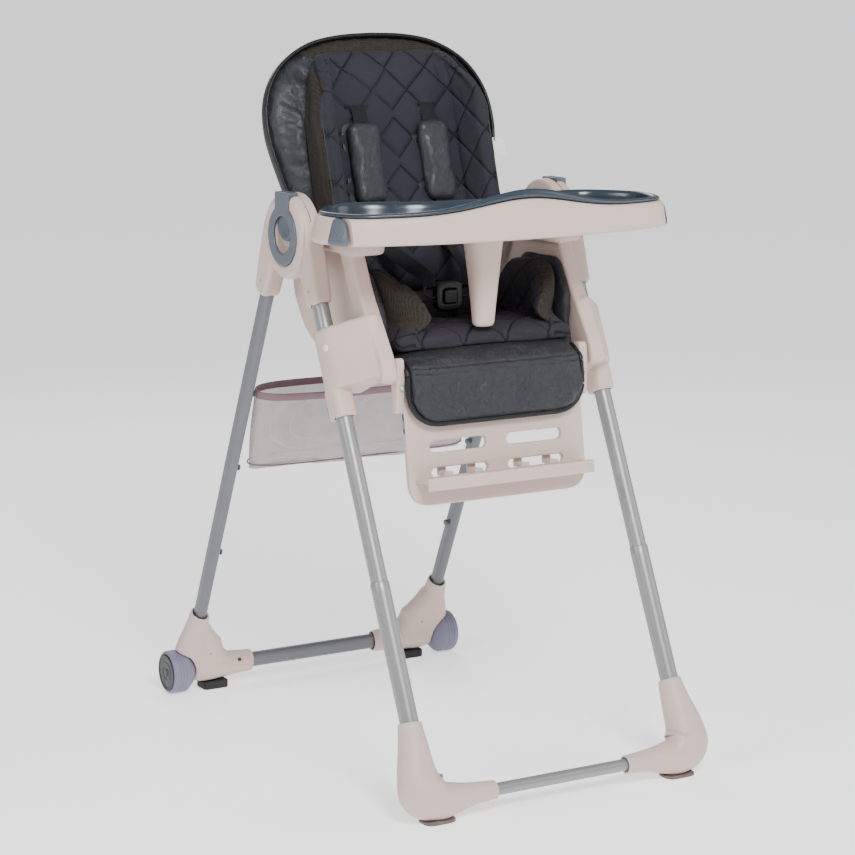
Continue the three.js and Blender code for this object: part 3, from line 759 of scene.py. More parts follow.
WING_START = 16.0
WING_SHARE = 0.9
DIAMOND = (72, 74)
DIAMOND_AT = 232
DIAMOND_STEP = 51.6
SEAT_DIAMOND = (72, 66)
SEAT_STEP = 48.0
SIDE_DIAMOND = (52, 54)
SIDE_STEP = 36.0
BASE_TOP = 662.0
BASE_HALF = 118.0
TAUPE = srgb(197, 176, 167)
SLATE = srgb(78, 85, 96)
MATERIALS = {
    "taupe": (moulded_plastic("taupe_plastic", TAUPE, 0.47), "taupe_plastic"),
    "slate": (moulded_plastic("slate_plastic", SLATE, 0.42, 0.8), "slate_plastic"),
    "sole": (rubber("sole_rubber", srgb(92, 82, 78)), "pad_rubber"),
    "tray": (moulded_plastic("tray_plastic", srgb(42, 53, 63), 0.22, 0.3, 0.3), "tray_plastic"),
    "wheel": (moulded_plastic("wheel_plastic", srgb(112, 112, 132), 0.5), "wheel_plastic"),
    "buckle": (moulded_plastic("buckle_plastic", srgb(24, 24, 27), 0.36, 0.6), "buckle_plastic"),
    "white": (moulded_plastic("screw_cap_plastic", srgb(226, 220, 214), 0.45), "taupe_plastic"),
    # Painted shade: a dark plastic that stands for the shade in recesses, on the rear-foot screw heads and the
    # leg rest's spring tracks.
    "dark": (moulded_plastic("recess_shade_plastic", srgb(58, 54, 53), 0.6), "slate_plastic"),
    "front_tube": (painted_tube("front_tube_paint", srgb(142, 142, 144)), "front_tube"),
    "rear_tube": (painted_tube("rear_tube_paint", srgb(105, 106, 112)), "rear_tube"),
    "steel": (turned_steel("turned_steel", srgb(190, 190, 192)), "steel"),
    "rubber": (rubber("pad_rubber", srgb(26, 26, 27)), "pad_rubber"),
    "disc": (moulded_plastic("wheel_disc_plastic", srgb(34, 40, 47), 0.45, 0.6), "slate_plastic"),
    "leather": (leatherette("charcoal_leatherette", srgb(43, 45, 51), 0.32), "leatherette"),
    # Painted shade: the calf cover's leatherette is a darker copy of the charcoal leatherette, because the cover
    # faces the light more than the back does.
    "calf": (leatherette("calf_leatherette_painted_shade", srgb(37, 39, 45), 0.32, 0.5, 0.75, 44.0), "leatherette"),
    "piping": (leatherette("piping_leatherette", srgb(20, 20, 23), 0.36, 0.25), "leatherette"),
    "quilt": (quilted("quilted_back_knit", srgb(42, 41, 49), BACK, True), "quilted_fabric"),
    "seat_quilt": (quilted("quilted_seat_knit", srgb(42, 40, 47), CHAIR, False), "quilted_fabric"),
    # The near-black second colour is painted shade inside the air mesh holes.
    "olive": (spacer_mesh("olive_air_mesh", srgb(50, 45, 41), srgb(15, 14, 13), 0.0026), "quilted_fabric"),
    "thread": (knitted("sewing_thread", srgb(96, 96, 104), 0.0006), "quilted_fabric"),
    "webbing": (knitted("woven_webbing", srgb(30, 30, 33), 0.0016, 0.7, 0.1, 0.5, 0.8), "webbing"),
    "net": (open_net("storage_net", srgb(176, 167, 169)), "basket_mesh"),
    "hem": (knitted("net_hem", srgb(122, 100, 106), 0.0014, 0.75, 0.15), "basket_mesh"),
    "tag": (knitted("side_label", srgb(226, 230, 236), 0.0009, 0.8), "quilted_fabric"),
}

# ---- Legs and cross tubes ----


def leg_point(side, down):
    """A point on a leg's axis in the chair frame. side is -1 for the front leg, 1 for the rear leg."""
    sine, cosine = math.sin(LEAN), math.cos(LEAN)
    return (
        LEG_X,
        15 + side * (LEG_OFFSET * cosine + down * sine),
        HUB.z / MM + LEG_OFFSET * sine - down * cosine,
    )


def hollow_tube(section, levels, wall=1.5):
    """A tube along z with rolled rims. levels are the two ends, low then high."""
    low, high = levels
    outer = [(low, -0.8), (low + 0.25, -0.25), (low + 0.8, 0)]
    outer += [(z, 0) for z in np.linspace(low + 0.8, high - 0.8, 24)[1:]]
    outer += [(high - 0.25, -0.25), (high, -0.8)]
    inner = [(high, -wall + 0.2), (high - 0.5, -wall), (low + 0.5, -wall), (low, -wall + 0.2)]
    return closed_loft([on_plane(inset(section, -grow), z, "Z") for z, grow in outer + inner])


def snap_button(x, y, z, toward):
    """The sprung ball that locks one tube inside another, standing in its hole."""
    dome = [(0.0, 3.0), (1.2, 3.0), (1.9, 2.4), (2.3, 1.2), (2.4, 0.2)]
    shape = lathe([(0, 4.2), (0.3, 4.3), (0.35, 3.1)] + dome, 24)
    turn = Matrix.Rotation(math.radians(toward), 4, "Z")
    return moved(moved(shape, matrix=turn), (x, y, z))


def make_tubes():
    front_wall = LOWER_R - FRONT_R - 0.4
    for word, side in SIDES.items():
        round_upper = circle(FRONT_R, LEG_X * side, -LEG_OFFSET)
        round_lower = circle(LOWER_R, LEG_X * side, -LEG_OFFSET)
        oval = flat_oval(REAR_WIDE, REAR_DEEP, LEG_X * side, LEG_OFFSET)
        upper = hollow_tube(round_upper, (-570, LEG_TOP))
        lower = hollow_tube(round_lower, (FRONT_LEG_END, TUBE_JOINT), front_wall)
        rear = hollow_tube(oval, (REAR_LEG_END, LEG_TOP))
        piece(
            f"front_tube_upper_{word}", upper, FRONT_LEG, "front_tube", "front_frame",
            [f"front_leg_upper_{word}"],
        )
        piece(
            f"front_tube_lower_{word}", lower, FRONT_LEG, "front_tube", "front_frame",
            [f"front_leg_lower_{word}"],
        )
        piece(f"rear_tube_{word}", rear, REAR_LEG, "rear_tube", "rear_frame", [f"rear_leg_{word}"])
        x = side * (LEG_X + LOWER_R - 0.5)
        button = snap_button(x, -LEG_OFFSET, TUBE_JOINT - 26, 0 if side > 0 else 180)
        piece(f"snap_button_{word}", button, FRONT_LEG, "steel", "front_frame")
    turn = Matrix.Rotation(math.pi / 2, 4, "Y")
    y, z, radius = FRONT_BAR
    bar = moved(hollow_tube(circle(radius), (-BAR_END_X, BAR_END_X)), (0, y, z), turn)
    piece("front_bar", bar, CHAIR, "front_tube", "front_frame", ["front_cross_tube"])
    bar = moved(hollow_tube(flat_oval(REAR_DEEP, REAR_WIDE), (-BAR_END_X, BAR_END_X)), (0, *REAR_BAR), turn)
    piece("rear_bar", bar, CHAIR, "rear_tube", "rear_frame", ["rear_cross_tube"])


# ---- Feet ----


def foot_rings(stations, count=46, sides=56):
    """Oval rings that follow a path, with a lip and a socket at each end.

    A station is (x, y, z, wide, deep).
    """
    route = catmull([s[:3] for s in stations], count)
    sizes = catmull([s[3:] for s in stations], count)
    along = tangents(route)
    angles = np.arange(sides) * 2 * math.pi / sides

    def ring(i, shrink=0.0, shift=0.0):
        back = np.array([0, 1, 0]) - along[i] * along[i][1]
        back /= np.linalg.norm(back)
        across = np.cross(back, along[i])
        wide, deep = sizes[i] - shrink
        centre = route[i] + along[i] * shift
        return centre + wide * np.cos(angles)[:, None] * across + deep * np.sin(angles)[:, None] * back

    def mouth(i, outward):
        lip = [(3.2, -14.0), (3.2, -1.0), (2.6, 0.3), (1.3, 0.9), (0.3, 0.3)]
        return [ring(i, shrink, shift * outward) for shrink, shift in lip]

    body = [ring(i) for i in range(count)]
    return mouth(0, -1) + body + mouth(count - 1, 1)[::-1]


def flattened(shape, floor, soft=3.0):
    """The shape's underside pressed flat, with a small round at the edge."""
    points = np.array(shape[0], float)
    depth = np.maximum(0, floor + soft - points[:, 2])
    points[:, 2] += depth - soft * (1 - np.exp(-depth / soft))
    return points, shape[1]


def screw(x, y, z, matrix_turn, radius=3.6):
    """A pan-head screw with a cross recess, its axis turned from X."""
    head = [
        (-3, radius * 0.9), (0, radius), (0.7, radius * 0.96), (1.25, radius * 0.75), (1.45, radius * 0.45),
    ]
    recess = [(0.5, radius * 0.34), (0.45, 0.1)]
    return moved(lathe(head + recess, 28), (x, y, z), matrix_turn)


def facing(degrees_from_x, tilt=0.0):
    """A turn that points +X to a bearing in the xy plane and tilts it upwards."""
    bearing = Matrix.Rotation(math.radians(degrees_from_x), 4, "Z")
    return bearing @ Matrix.Rotation(-math.radians(tilt), 4, "Y")


def make_front_feet():
    stations = [
        (*leg_point(-1, 737), 17.2, 17.2),
        (224.4, leg_point(-1, 768)[1], leg_point(-1, 768)[2], 22.0, 20.5),
        (228.5, -358, 68, 30, 24),
        (224, -369, 44, 37, 26.5),
        (203, -374, 31, 29.5, 25),
        (178, -375, 30, 22.5, 21),
        (148, -375, 31, 16.5, 16),
        (112, FRONT_BAR[0], FRONT_BAR[1], 13.5, 13.5),
    ]
    for word, side in SIDES.items():
        foot = flattened(mirrored(loft(foot_rings(stations)), side), 3.2)
        piece(f"front_corner_{word}", foot, CHAIR, "taupe", "front_frame", [f"front_foot_{word}"], 50)
        sole = resampled(rectangle(180, 230, -392, -356, 14), 96)
        pad = mirrored(plate(sole, 0, 5, 1.4, "Z"), side)
        piece(f"front_sole_{word}", pad, CHAIR, "sole", "front_frame", [f"front_pad_{word}"])


WHEEL_PROFILE = [(224, 17), (231, 27), (238, 33.5), (244, WHEEL_R), (263, WHEEL_R), (268, 31.5)]


def make_rear_feet():
    y, z = REAR_BAR
    stations = [
        (*leg_point(1, 731), 14.5, 18),
        (223.5, leg_point(1, 765)[1], leg_point(1, 765)[2], 20, 20),
        (226, 382, 72, 28, 22),
        (221, 390, 52, 33, 23),
        (200, 391, 39, 28, 23),
        (176, 391, 36.5, 23, 22),
        (148, 391, 36, 20, 18),
        (115, y, z, 18, 14),
    ]
    web = [
        (218, 366, 120, 13, 17),
        (212, 375, 96, 22, 19),
        (200, 386, 66, 33, 21),
        (180, 390, 48, 24, 20),
        (156, 391, 39, 14, 16),
    ]
    room = [(x - 1.2, radius + 1.6) for x, radius in WHEEL_PROFILE] + [(300, WHEEL_R + 1.6)]
    for word, side in SIDES.items():
        shapes = [
            flattened(mirrored(loft(rings), side), 13.4)
            for rings in (foot_rings(stations), foot_rings(web)[8:-8])
        ]
        cutters = [(mirrored(lathe(room, 72, *WHEEL), side), CHAIR)]
        obj = fused(f"rear_corner_{word}", shapes, CHAIR, 1.8, cutters, 3)
        dressed(obj, "taupe", "rear_frame", [f"rear_foot_{word}"], 50)
        sole = resampled(rectangle(163, 207, 373, 409, 8), 96)
        pad = mirrored(plate(sole, 0, 13, 1.6, "Z"), side)
        piece(f"rear_sole_{word}", pad, CHAIR, "rubber", "rear_frame", [f"rear_pad_{word}"])
        # The screw heads use the dark recess colour: painted shade of the holes they sit in.
        heads = [screw(143, 374.0, 44, facing(-90, 20), 3.2), screw(200, 366.4, 66, facing(-92, 10), 3.6)]
        heads += [screw(214.5, 363.5, 112, facing(-112, 10), 3.4)]
        paired("rear_foot_screws", word, joined(*heads), CHAIR, "dark", "rear_frame")


def make_wheels():
    tread = [
        (224, 4.4), (224, 16), (224.6, 17.5), (231, 27), (234.5, 30.4), (238, 33.4), (241, 34.6),
        (244, WHEEL_R),
    ]
    for groove in (247, 252, 257):
        tread += [
            (groove, WHEEL_R), (groove + 0.4, WHEEL_R - 0.6), (groove + 1.2, WHEEL_R - 0.6),
            (groove + 1.6, WHEEL_R),
        ]
    tread += [
        (263, WHEEL_R), (265.6, 34.2), (267.4, 32.6), (268, 31.2), (267.6, 30.1), (266, 29.9), (266, 4.4),
    ]
    cap = [
        (266.4, 4.6), (266.4, 29.4), (268.2, 29.4), (269.2, 28.6), (269.6, 27.4), (269.0, 26.2),
        (268.4, 25.2),
    ]
    cap += [
        (268.3, 17.5), (268.9, 16.8), (269.0, 11.8), (268.4, 11.2), (268.4, 6.6), (269.5, 6.2), (269.8, 5.0),
        (269.8, 0.2),
    ]
    for word in SIDES:
        body = f"wheel_{word}"
        wheel = closed_loft([on_plane(circle(r, *WHEEL, 96), x, "X") for x, r in tread])
        paired("wheel_tread", word, wheel, CHAIR, "wheel", body, [f"rear_wheel_{word}"], 25)
        paired("wheel_disc", word, lathe(cap, 96, *WHEEL), CHAIR, "disc", body, [f"wheel_cap_{word}"], 25)
        pin = lathe([(189, 3.4), (189.5, 4), (264.4, 4), (264.8, 3.5)], 32, *WHEEL)
        paired("wheel_pin", word, pin, CHAIR, "steel", "rear_frame", [f"wheel_axle_{word}"])


# ---- Hubs ----


def housing_arm(side):
    corners = [(21, -122), (18.5, -62), (8, -25), (24, 5), (60, 22), (68, -8), (62, -70), (54, -122)]
    outline = resampled(rounded([(side * v, w) for v, w in corners], 12), 150)
    return plate(outline, 208.3, 238.3, 6.5, "X", steps=4)


def leg_bore(shape_points, low=-130, high=LEG_TOP):
    return loft([on_plane(shape_points, z, "Z") for z in (low, high)])


def make_hubs():
    inner_disc = [
        (HUB_INNER_X, 57), (HUB_INNER_X + 0.6, 59.5), (HUB_INNER_X + 2.4, 62.2), (HUB_INNER_X + 5, 63.2),
        (HUB_SPLIT_X - 0.5, 63.2),
    ]
    outer_disc = [
        (HUB_SPLIT_X + 0.5, HUB_R), (231, HUB_R), (235, 62.8), (238.2, 60), (239.8, 56.5), (HUB_OUTER_X, 52),
    ]
    for word, side in SIDES.items():
        step = [(HUB_SPLIT_X - 0.5, HUB_R + 1.0), (PAST_HUB, HUB_R + 1.0)]
        cutters = [
            (mirrored(lathe(step, 96), side), FRONT_LEG),
            (mirrored(leg_bore(circle(FRONT_R + 0.7, LEG_X, -LEG_OFFSET, 40)), side), FRONT_LEG),
        ]
        shapes = [mirrored(lathe(inner_disc, 96), side), mirrored(housing_arm(-1), side)]
        shell = fused(f"front_housing_{word}", shapes, FRONT_LEG, 1.5, cutters)
        dressed(shell, "taupe", "front_frame", [f"front_hub_shell_{word}"], 60)

        ring_room = [(RING_SEAT_X, BEZEL_R + BEZEL_GAP), (PAST_HUB, BEZEL_R + BEZEL_GAP)]
        tab_room = (-TAB_HALF - BEZEL_GAP, TAB_HALF + BEZEL_GAP)
        rooms = [
            (rectangle(*tab_room, 20, 80), RING_SEAT_X),
            (rectangle(*tab_room, 56.3, 80), HUB_SPLIT_X),
            (rectangle(-THUMB_R, THUMB_R, -28, 46, 27, 12), 228.6),
        ]
        cutters = [
            (mirrored(lathe([(190, HUB_R + 1), (HUB_SPLIT_X + 0.4, HUB_R + 1)], 96), side), HUB_FRAME),
            (
                mirrored(leg_bore(flat_oval(REAR_WIDE + 1.2, REAR_DEEP + 1.2, LEG_X, LEG_OFFSET)), side),
                REAR_LEG,
            ),
            (mirrored(lathe(ring_room, 96), side), HUB_FRAME),
        ]
        cutters += [(mirrored(cutter(face, depth, PAST_HUB, "X"), side), HUB_FRAME) for face, depth in rooms]
        disc = moved(mirrored(lathe(outer_disc, 96), side), matrix=HUB_FRAME)
        arm = moved(mirrored(housing_arm(1), side), matrix=REAR_LEG)
        shell = fused(f"rear_housing_{word}", [disc, arm], None, 1.3, cutters)
        dressed(shell, "taupe", "rear_frame", [f"rear_hub_shell_{word}"], 60)
        make_bezel(word, side)

        cap = [
            (200.2, 0.2), (200.2, 3.0), (201.2, 3.4), (201.2, 4.6), (200.4, 5.2), (200.4, 8.6),
            (201.2, 10.2), (203, 11), (205.8, 11), (205.8, 6), (227.6, 6),
        ]
        paired("hub_pin", word, lathe(cap, 48), HUB_FRAME, "steel", "front_frame", [f"hub_axle_{word}"])
        for end, y, leg in (("front", -LEG_OFFSET - 2, FRONT_LEG), ("rear", LEG_OFFSET, REAR_LEG)):
            paired(
                f"{end}_housing_screw", word, screw(HOUSING_FACE_X, y, -100, facing(0), 3.3), leg, "steel",
                f"{end}_frame",
            )


def make_bezel(word, side):
    """The slate ring with its tab over the top of the hub, and the dished thumb pad inside it."""
    low, high = 237.1, 242
    angle = math.asin(TAB_HALF / BEZEL_R)
    ring = [
        (BEZEL_R * math.sin(a), BEZEL_R * math.cos(a))
        for a in np.linspace(angle, 2 * math.pi - angle, 90)
    ]
    top = 64.6
    outline = np.array(
        ring + [(-TAB_HALF, top - 3), (-TAB_HALF + 3, top), (TAB_HALF - 3, top), (TAB_HALF, top - 3)]
    )
    opening = circle(THUMB_R, 0, 2, 72)
    face = plate(resampled(anticlockwise(outline), 220), low, high, 1.3, "X", [opening])
    tab = plate(rectangle(-TAB_HALF, TAB_HALF, 57, top, 1.5), HUB_SPLIT_X + 1, high - 0.6, 1.2, "X")
    obj = raw_object(f"bezel_{word}", mirrored(joined(face, tab), side), HUB_FRAME)
    smoothed(remeshed(obj, 1.1), 3)
    dressed(obj, "slate", "rear_frame", [f"hub_bezel_{word}"], 60)
    dish = [(229, 0.2), (229, 22.0), (229.8, 22.8), (233.6, 23), (235.0, 22.5), (235.8, 21.4), (235.8, 20.0)]
    dish += [(235.8 - 2.6 * (1 - (r / 18.0) ** 2), r) for r in np.linspace(18.0, 0.2, 9)]
    paired(
        "thumb_pad", word, lathe(dish, 72, 0, 15), HUB_FRAME, "slate", f"release_{word}",
        [f"hub_release_{word}"], 30,
    )


# ---- Seat carriers ----


def make_carriers():
    front = [(-199, 590), (-193, 622), (-172, 652), (-128, 715), (-98, 775)]
    side_face = [*front, (60, 775), (104, 750), (104, 690), (70, 640), (10, 604), (-60, 590)]
    strut = [*[(y + 1.3, z + 1) for y, z in front], (-62, 778), (-92, 715), (-125, 655), (-140, 601)]
    block = [(170, -112), (188, -112), (236, -60), (241, -37), (236, -20), (205, -16), (170, -8)]
    arm_low, arm_high = 767, 792.5
    for word, side in SIDES.items():
        shapes = [
            plate(resampled(rounded(side_face, 18), 190), 165.6, 178, 3, "X"),
            plate(resampled(rounded(strut, 12), 150), 170, 190, 4, "X"),
            plate(resampled(rectangle(140, 197, -128, 0, 24), 120), arm_low, arm_high, 7, "Z"),
        ]
        on_leg = [
            plate(resampled(rounded(block, 10), 110), BLOCK_END, BLOCK_TOP, 4, "Z"),
            plate(resampled(rectangle(206.5, 238.5, -54.5, -16, 11), 90), SLEEVE_END, BLOCK_END + 5, 3, "Z"),
        ]
        leg_in_chair = CHAIR.inverted() @ FRONT_LEG
        shapes += [moved(shape, matrix=leg_in_chair) for shape in on_leg]
        bore = leg_bore(circle(FRONT_R + 1.0, LEG_X, -LEG_OFFSET, 40), SLEEVE_END - 8, BLOCK_TOP + 8)
        slot = cutter(rectangle(212, 234, -20.8, -8), SLEEVE_END + 3, BLOCK_END - 1, "Z")
        cutters = [(mirrored(bore, side), FRONT_LEG), (mirrored(slot, side), FRONT_LEG)]
        shell = fused(f"carrier_{word}", [mirrored(shape, side) for shape in shapes], CHAIR, 1.8, cutters, 4)
        dressed(shell, "taupe", "seat", [f"seat_carrier_{word}"], 60)
        make_latch(word)
        cap_y, cap_z = -LEG_OFFSET - 15, (BLOCK_TOP + BLOCK_END) / 2 + 16
        cap = [(236.0, 5.6), (238.6, 5.6), (239.8, 4.9), (240.4, 3.6), (240.1, 2.2), (239.8, 0.2)]
        round_cap = moved(lathe([(x - 1.5, r) for x, r in cap], 36, cap_y, cap_z))
        paired("carrier_cap", word, round_cap, FRONT_LEG, "white", "seat")
        eye = lathe(
            [(234, 5.2), (236.6, 5.2), (237.4, 4.4), (237.4, 3.2), (236.4, 2.8), (236.2, 0.2)], 32,
            -LEG_OFFSET, BLOCK_END - 12,
        )
        paired("sleeve_rivet", word, eye, FRONT_LEG, "steel", "seat")


def make_latch(word):
    """The lever at the back of the sleeve: a ribbed face that is squeezed to free the seat."""
    low, high = SLEEVE_END + 5.2, BLOCK_END - 3.6
    back = -14.4
    outline = resampled(
        rounded([(back, low), (-9, low + 2), (-6.6, (low + high) / 2), (-9, high - 2), (back, high)], 2.5),
        70,
    )
    lever = plate(outline, 214.6, 231.4, 1.6, "X")
    ribs = []
    for k in (-2, -1, 0, 1, 2):
        y, z = -7.6 - abs(k) * 0.45, (low + high) / 2 + k * 4.4
        ribs.append(sweep([(216, y, z), (230, y, z)], circle(1.1, 0, 0, 12)))
    paired(
        "latch_lever", word, joined(lever, *ribs), FRONT_LEG, "slate", f"latch_{word}",
        [f"height_latch_{word}"],
    )


# ---- Tray ----

LATCH_Y = (-251, -205)
LATCH_X = 262
LATCH_PLAY = 0.7
TRAY_FLOOR = 813
CUP = (-195, -158)


def tray_outline(count=420):
    front = [(x, -291 + 12 * (x / 160) ** 2) for x in (160, 120, 80, 40, 0)]
    corners = [
        (0, -128, 34), (95, -126, 46), (150, -82, 34), (225, -76, 56), (288, -150, 60), (287, -205, 34),
        (268, -248, 34),
    ]
    outline = both_halves(corners + [(160, front[0][1], 46)] + front[1:], 0.0, 10)
    return anticlockwise(resampled(outline, count))


def tray_shaped(points):
    """The rim rises in a low hump at the middle of the front, and the sides lean in."""
    x, y, z = points.T
    rise = (z - TRAY_Z) / (TRAY_TOP - TRAY_Z)
    forward = smoothstep(np.clip((-y - 205) / 70, 0, 1))
    hump = 19 * np.exp(-((x / 105) ** 2)) * forward
    above_floor = np.maximum(0, (z - TRAY_FLOOR - 6) / (TRAY_TOP - TRAY_FLOOR - 6))
    lean = 1 - 0.035 * rise
    return np.stack([x * lean, -170 + (y + 170) * lean, z + hump * above_floor], axis=1)


def tray_rings(profile):
    outline = tray_outline()
    smooth = [inset_far(outline, back) for back, _ in profile]
    return [tray_shaped(on_plane(ring, level, "Z")) for ring, (_, level) in zip(smooth, profile)]


def tray_edge(y, z):
    """The point of the tray's right side at that depth and height."""
    ring = tray_shaped(on_plane(tray_outline(), z, "Z"))
    side = ring[ring[:, 0] > 200]
    return side[np.argmin(np.abs(side[:, 1] - y) + (side[:, 1] > -170) * 100)]


def latch_pocket(side, slack=0.0):
    """The room for a latch in the tray's edge. With slack it bounds the latch, which stops well short inside."""
    y0, y1 = LATCH_Y
    face = rectangle(y0 + slack, y1 - slack, 780, 860, 1)
    return mirrored(cutter(face, LATCH_X + slack * 8, 330, "X"), side)


def make_tray():
    base = [
        (9, 797), (5.5, 797.5), (2.4, 799.2), (0.7, 802), (0, 805.5), (0, 826), (0.3, 830), (1.3, 833),
        (3, 834.7), (5, 835.2),
    ]
    base += [(9.6, 835.2), (11, 834.6), (11.6, 832.4), (12, 826), (12.4, 814), (14, 812.6), (18, 812.4)]
    obj = raw_object("tray_body", loft(tray_rings(base)), CHAIR)
    openings = [latch_pocket(1), latch_pocket(-1), lathe_z([(805, 39.3), (830, 39.3)], 72, *CUP)]
    boolean(obj, "DIFFERENCE", *[raw_object("opening", shape, CHAIR) for shape in openings])
    dressed(obj, "taupe", "tray", ["tray_base"], 38)

    rim = [
        (14.2, 813.6), (13.2, 815), (12.8, 820), (12.6, 834), (12.2, 836.2), (5.4, 836.4), (4.2, 837.2),
        (3.7, 838.4), (4.1, 839.8), (5.3, 841), (7.2, 841.7),
    ]
    rim += [
        (9.6, 841.5), (12, 840.2), (14, 837.4), (16, 832), (17.8, 824), (19.6, 819.4), (22.4, 817.6),
        (27, 817),
    ]
    insert = raw_object("tray_liner", loft(tray_rings(rim)), CHAIR)
    foot = lathe_z([(804.8, 0.2), (804.8, 36), (805.8, 38.2), (808, 38.9), (816, 38.9), (816, 0.2)], 72, *CUP)
    boolean(insert, "UNION", raw_object("foot", foot, CHAIR))
    well = [
        (808.2, 0.2), (808.2, 30.5), (809, 33.2), (811, 35), (814, 35.6), (816.2, 36.2), (817.2, 37.6),
        (817.6, 40.5), (832, 41),
    ]
    boolean(insert, "DIFFERENCE", raw_object("well", lathe_z(well, 72, *CUP), CHAIR))
    dressed(insert, "tray", "insert", ["tray_insert"], 38)

    for word, side in SIDES.items():
        hook = base[:10] + [(7, 834.8), (7.6, 834), (7.6, 799.5)]
        block = raw_object(f"tray_catch_{word}", loft(tray_rings(hook)), CHAIR)
        boolean(block, "INTERSECT", raw_object("room", latch_pocket(side, LATCH_PLAY), CHAIR))
        bevel = block.modifiers.new("bevel", "BEVEL")
        bevel.width = 0.0011
        bevel.segments = 3
        bevel.limit_method = "ANGLE"
        bevel.angle_limit = math.radians(40)
        applied(block)
        dressed(block, "slate", f"tray_release_{word}", [f"tray_latch_{word}"], 40)
        ribs = []
        for y in (-228.5, -223.5, -218.5, -213.5):
            line = [tray_edge(y, z) for z in np.linspace(806, 827, 8)]
            ribs.append(sweep(line, circle(0.9, 0, 0, 12)))
        paired("tray_catch_ribs", word, joined(*ribs), CHAIR, "slate", f"tray_release_{word}")

    post = [
        (0, -156, 796.4, 33, 35), (0, -156, 792, 29.4, 31.6), (0, -156, 786, 27.6, 29.2),
        (0, -156, 765, 25, 26), (0, -157, 715, 20.5, 19),
    ]
    post += [
        (0, -157, 676, 17.6, 13.4), (0, -157, 664, 16.6, 12), (0, -157, 659.4, 14.8, 10.4),
        (0, -157, 657.4, 11.5, 7.6), (0, -157, 657, 7, 4),
    ]
    u, v = superellipse(64, 0.8, 0.8)
    rings = []
    for x, y, z, wide, deep in catmull(post, 60):
        rings.append(np.stack([x + wide * u, y + deep * v, np.full(64, z)], axis=1))
    piece("tray_post", loft(rings), CHAIR, "taupe", "tray", ["crotch_post"], 40)


# ---- Leg rest ----

SLOT_Z = -123
STEP_Z = -160


def stadium(centre, half, radius, z):
    left, right = centre - half + radius, centre + half - radius
    arc = np.linspace(-math.pi / 2, math.pi / 2, 14)
    ends = [(right + radius * math.cos(a), z + radius * math.sin(a)) for a in arc]
    ends += [(left - radius * math.cos(a), z - radius * math.sin(a)) for a in arc]
    return np.array(ends)


def make_legrest():
    outline = resampled(both_halves([(PANEL_HALF, -207, 36), (PANEL_HALF, -18, 10)], steps=12), 260)
    holes = [
        stadium(side * 65, 48, 8.5, SLOT_Z)
        for side in (1, -1)
    ] + [stadium(side * 65, 48, 6.5, STEP_Z) for side in (1, -1)]
    face = plate(outline, 0, 10, 2.2, "Y", holes, 4)
    piece("rest_panel", face, REST, "taupe", "legrest", ["legrest_panel"], 30)
    ear = resampled(rounded([(-9, 9), (9, 9), (15, -70), (1, -70), (-9, -16)], 6), 80)
    for word, side in SIDES.items():
        bracket = plate(ear, 149.6, 163.2, 2.4, "X")
        paired("rest_bracket", word, bracket, REST, "taupe", "legrest")
        pin = lathe([(160, 5), (174.6, 5), (175, 4.4)], 32)
        paired("rest_pin", word, pin, REST, "steel", "legrest")
        rivet = moved(lathe(ellipsoid_cap(3.4, 1.6) + [(1.7, 0.2)], 28), (156.5, -10.2, -34), facing(-90))
        paired("rest_rivet", word, rivet, REST, "steel", "legrest")
        # The track is a thin dark sheet on the panel's side edge: painted shade of the slot that the spring sits
        # in.
        track = plate(stadium(0, 15, 2.2, 0)[:, ::-1], 150.4, 151.4, 0.3, "X")
        paired("rest_track_shade", word, moved(track, (0, 5, -86)), REST, "dark", "legrest")
        coil = [
            (151 + 0.9 * math.cos(a), 5 + 1.5 * math.sin(a), -80 - a * 0.25)
            for a in np.linspace(0, 16 * math.pi, 200)
        ]
        paired("rest_spring", word, sweep(coil, circle(0.45, 0, 0, 8)), REST, "steel", "legrest")

    profile = [
        (-0.6, -174), (-0.6, -168), (-20, -165.6), (-35.5, -164.6), (-39, -166), (-39.4, -182),
        (-37.2, -184.4), (-34.8, -182.6), (-33.6, -173), (-18, -172.6),
    ]
    tread = plate(resampled(rounded(profile, 1.6, 4), 90), -141.5, 141.5, 1.6, "X")
    hook = rounded(
        [
            (-10, -172), (-1, -172), (-1, -165.8), (14, -165.8), (14, -154.4), (10.6, -154.4), (10.6, -160),
            (-10, -160),
        ],
        0.8, 3,
    )
    hooks = [plate(hook, x - 7, x + 7, 0.8, "X") for x in (-90, -40, 40, 90)]
    grips = [
        sweep([(x, -6 - 1.6 * k, -166.6 + 0.12 * k) for k in range(18)], circle(1.0, 0, 0, 12))
        for x in range(-126, 127, 14)
    ]
    piece("step_ledge", joined(tread, *hooks, *grips), REST, "taupe", "step", ["foot_step"], 35)


# ---- Padded pieces ----


def coordinates(obj):
    points = np.empty(len(obj.data.vertices) * 3)
    obj.data.vertices.foreach_get("co", points)
    return points.reshape(-1, 3)


def place_points(obj, points):
    obj.data.vertices.foreach_set("co", np.ascontiguousarray(points, dtype=np.float32).ravel())
    obj.data.update()


def normals(obj):
    values = np.empty(len(obj.data.vertices) * 3)
    obj.data.vertex_normals.foreach_get("vector", values)
    return values.reshape(-1, 3)


def local(points, matrix):
    return placed(points, matrix.inverted())


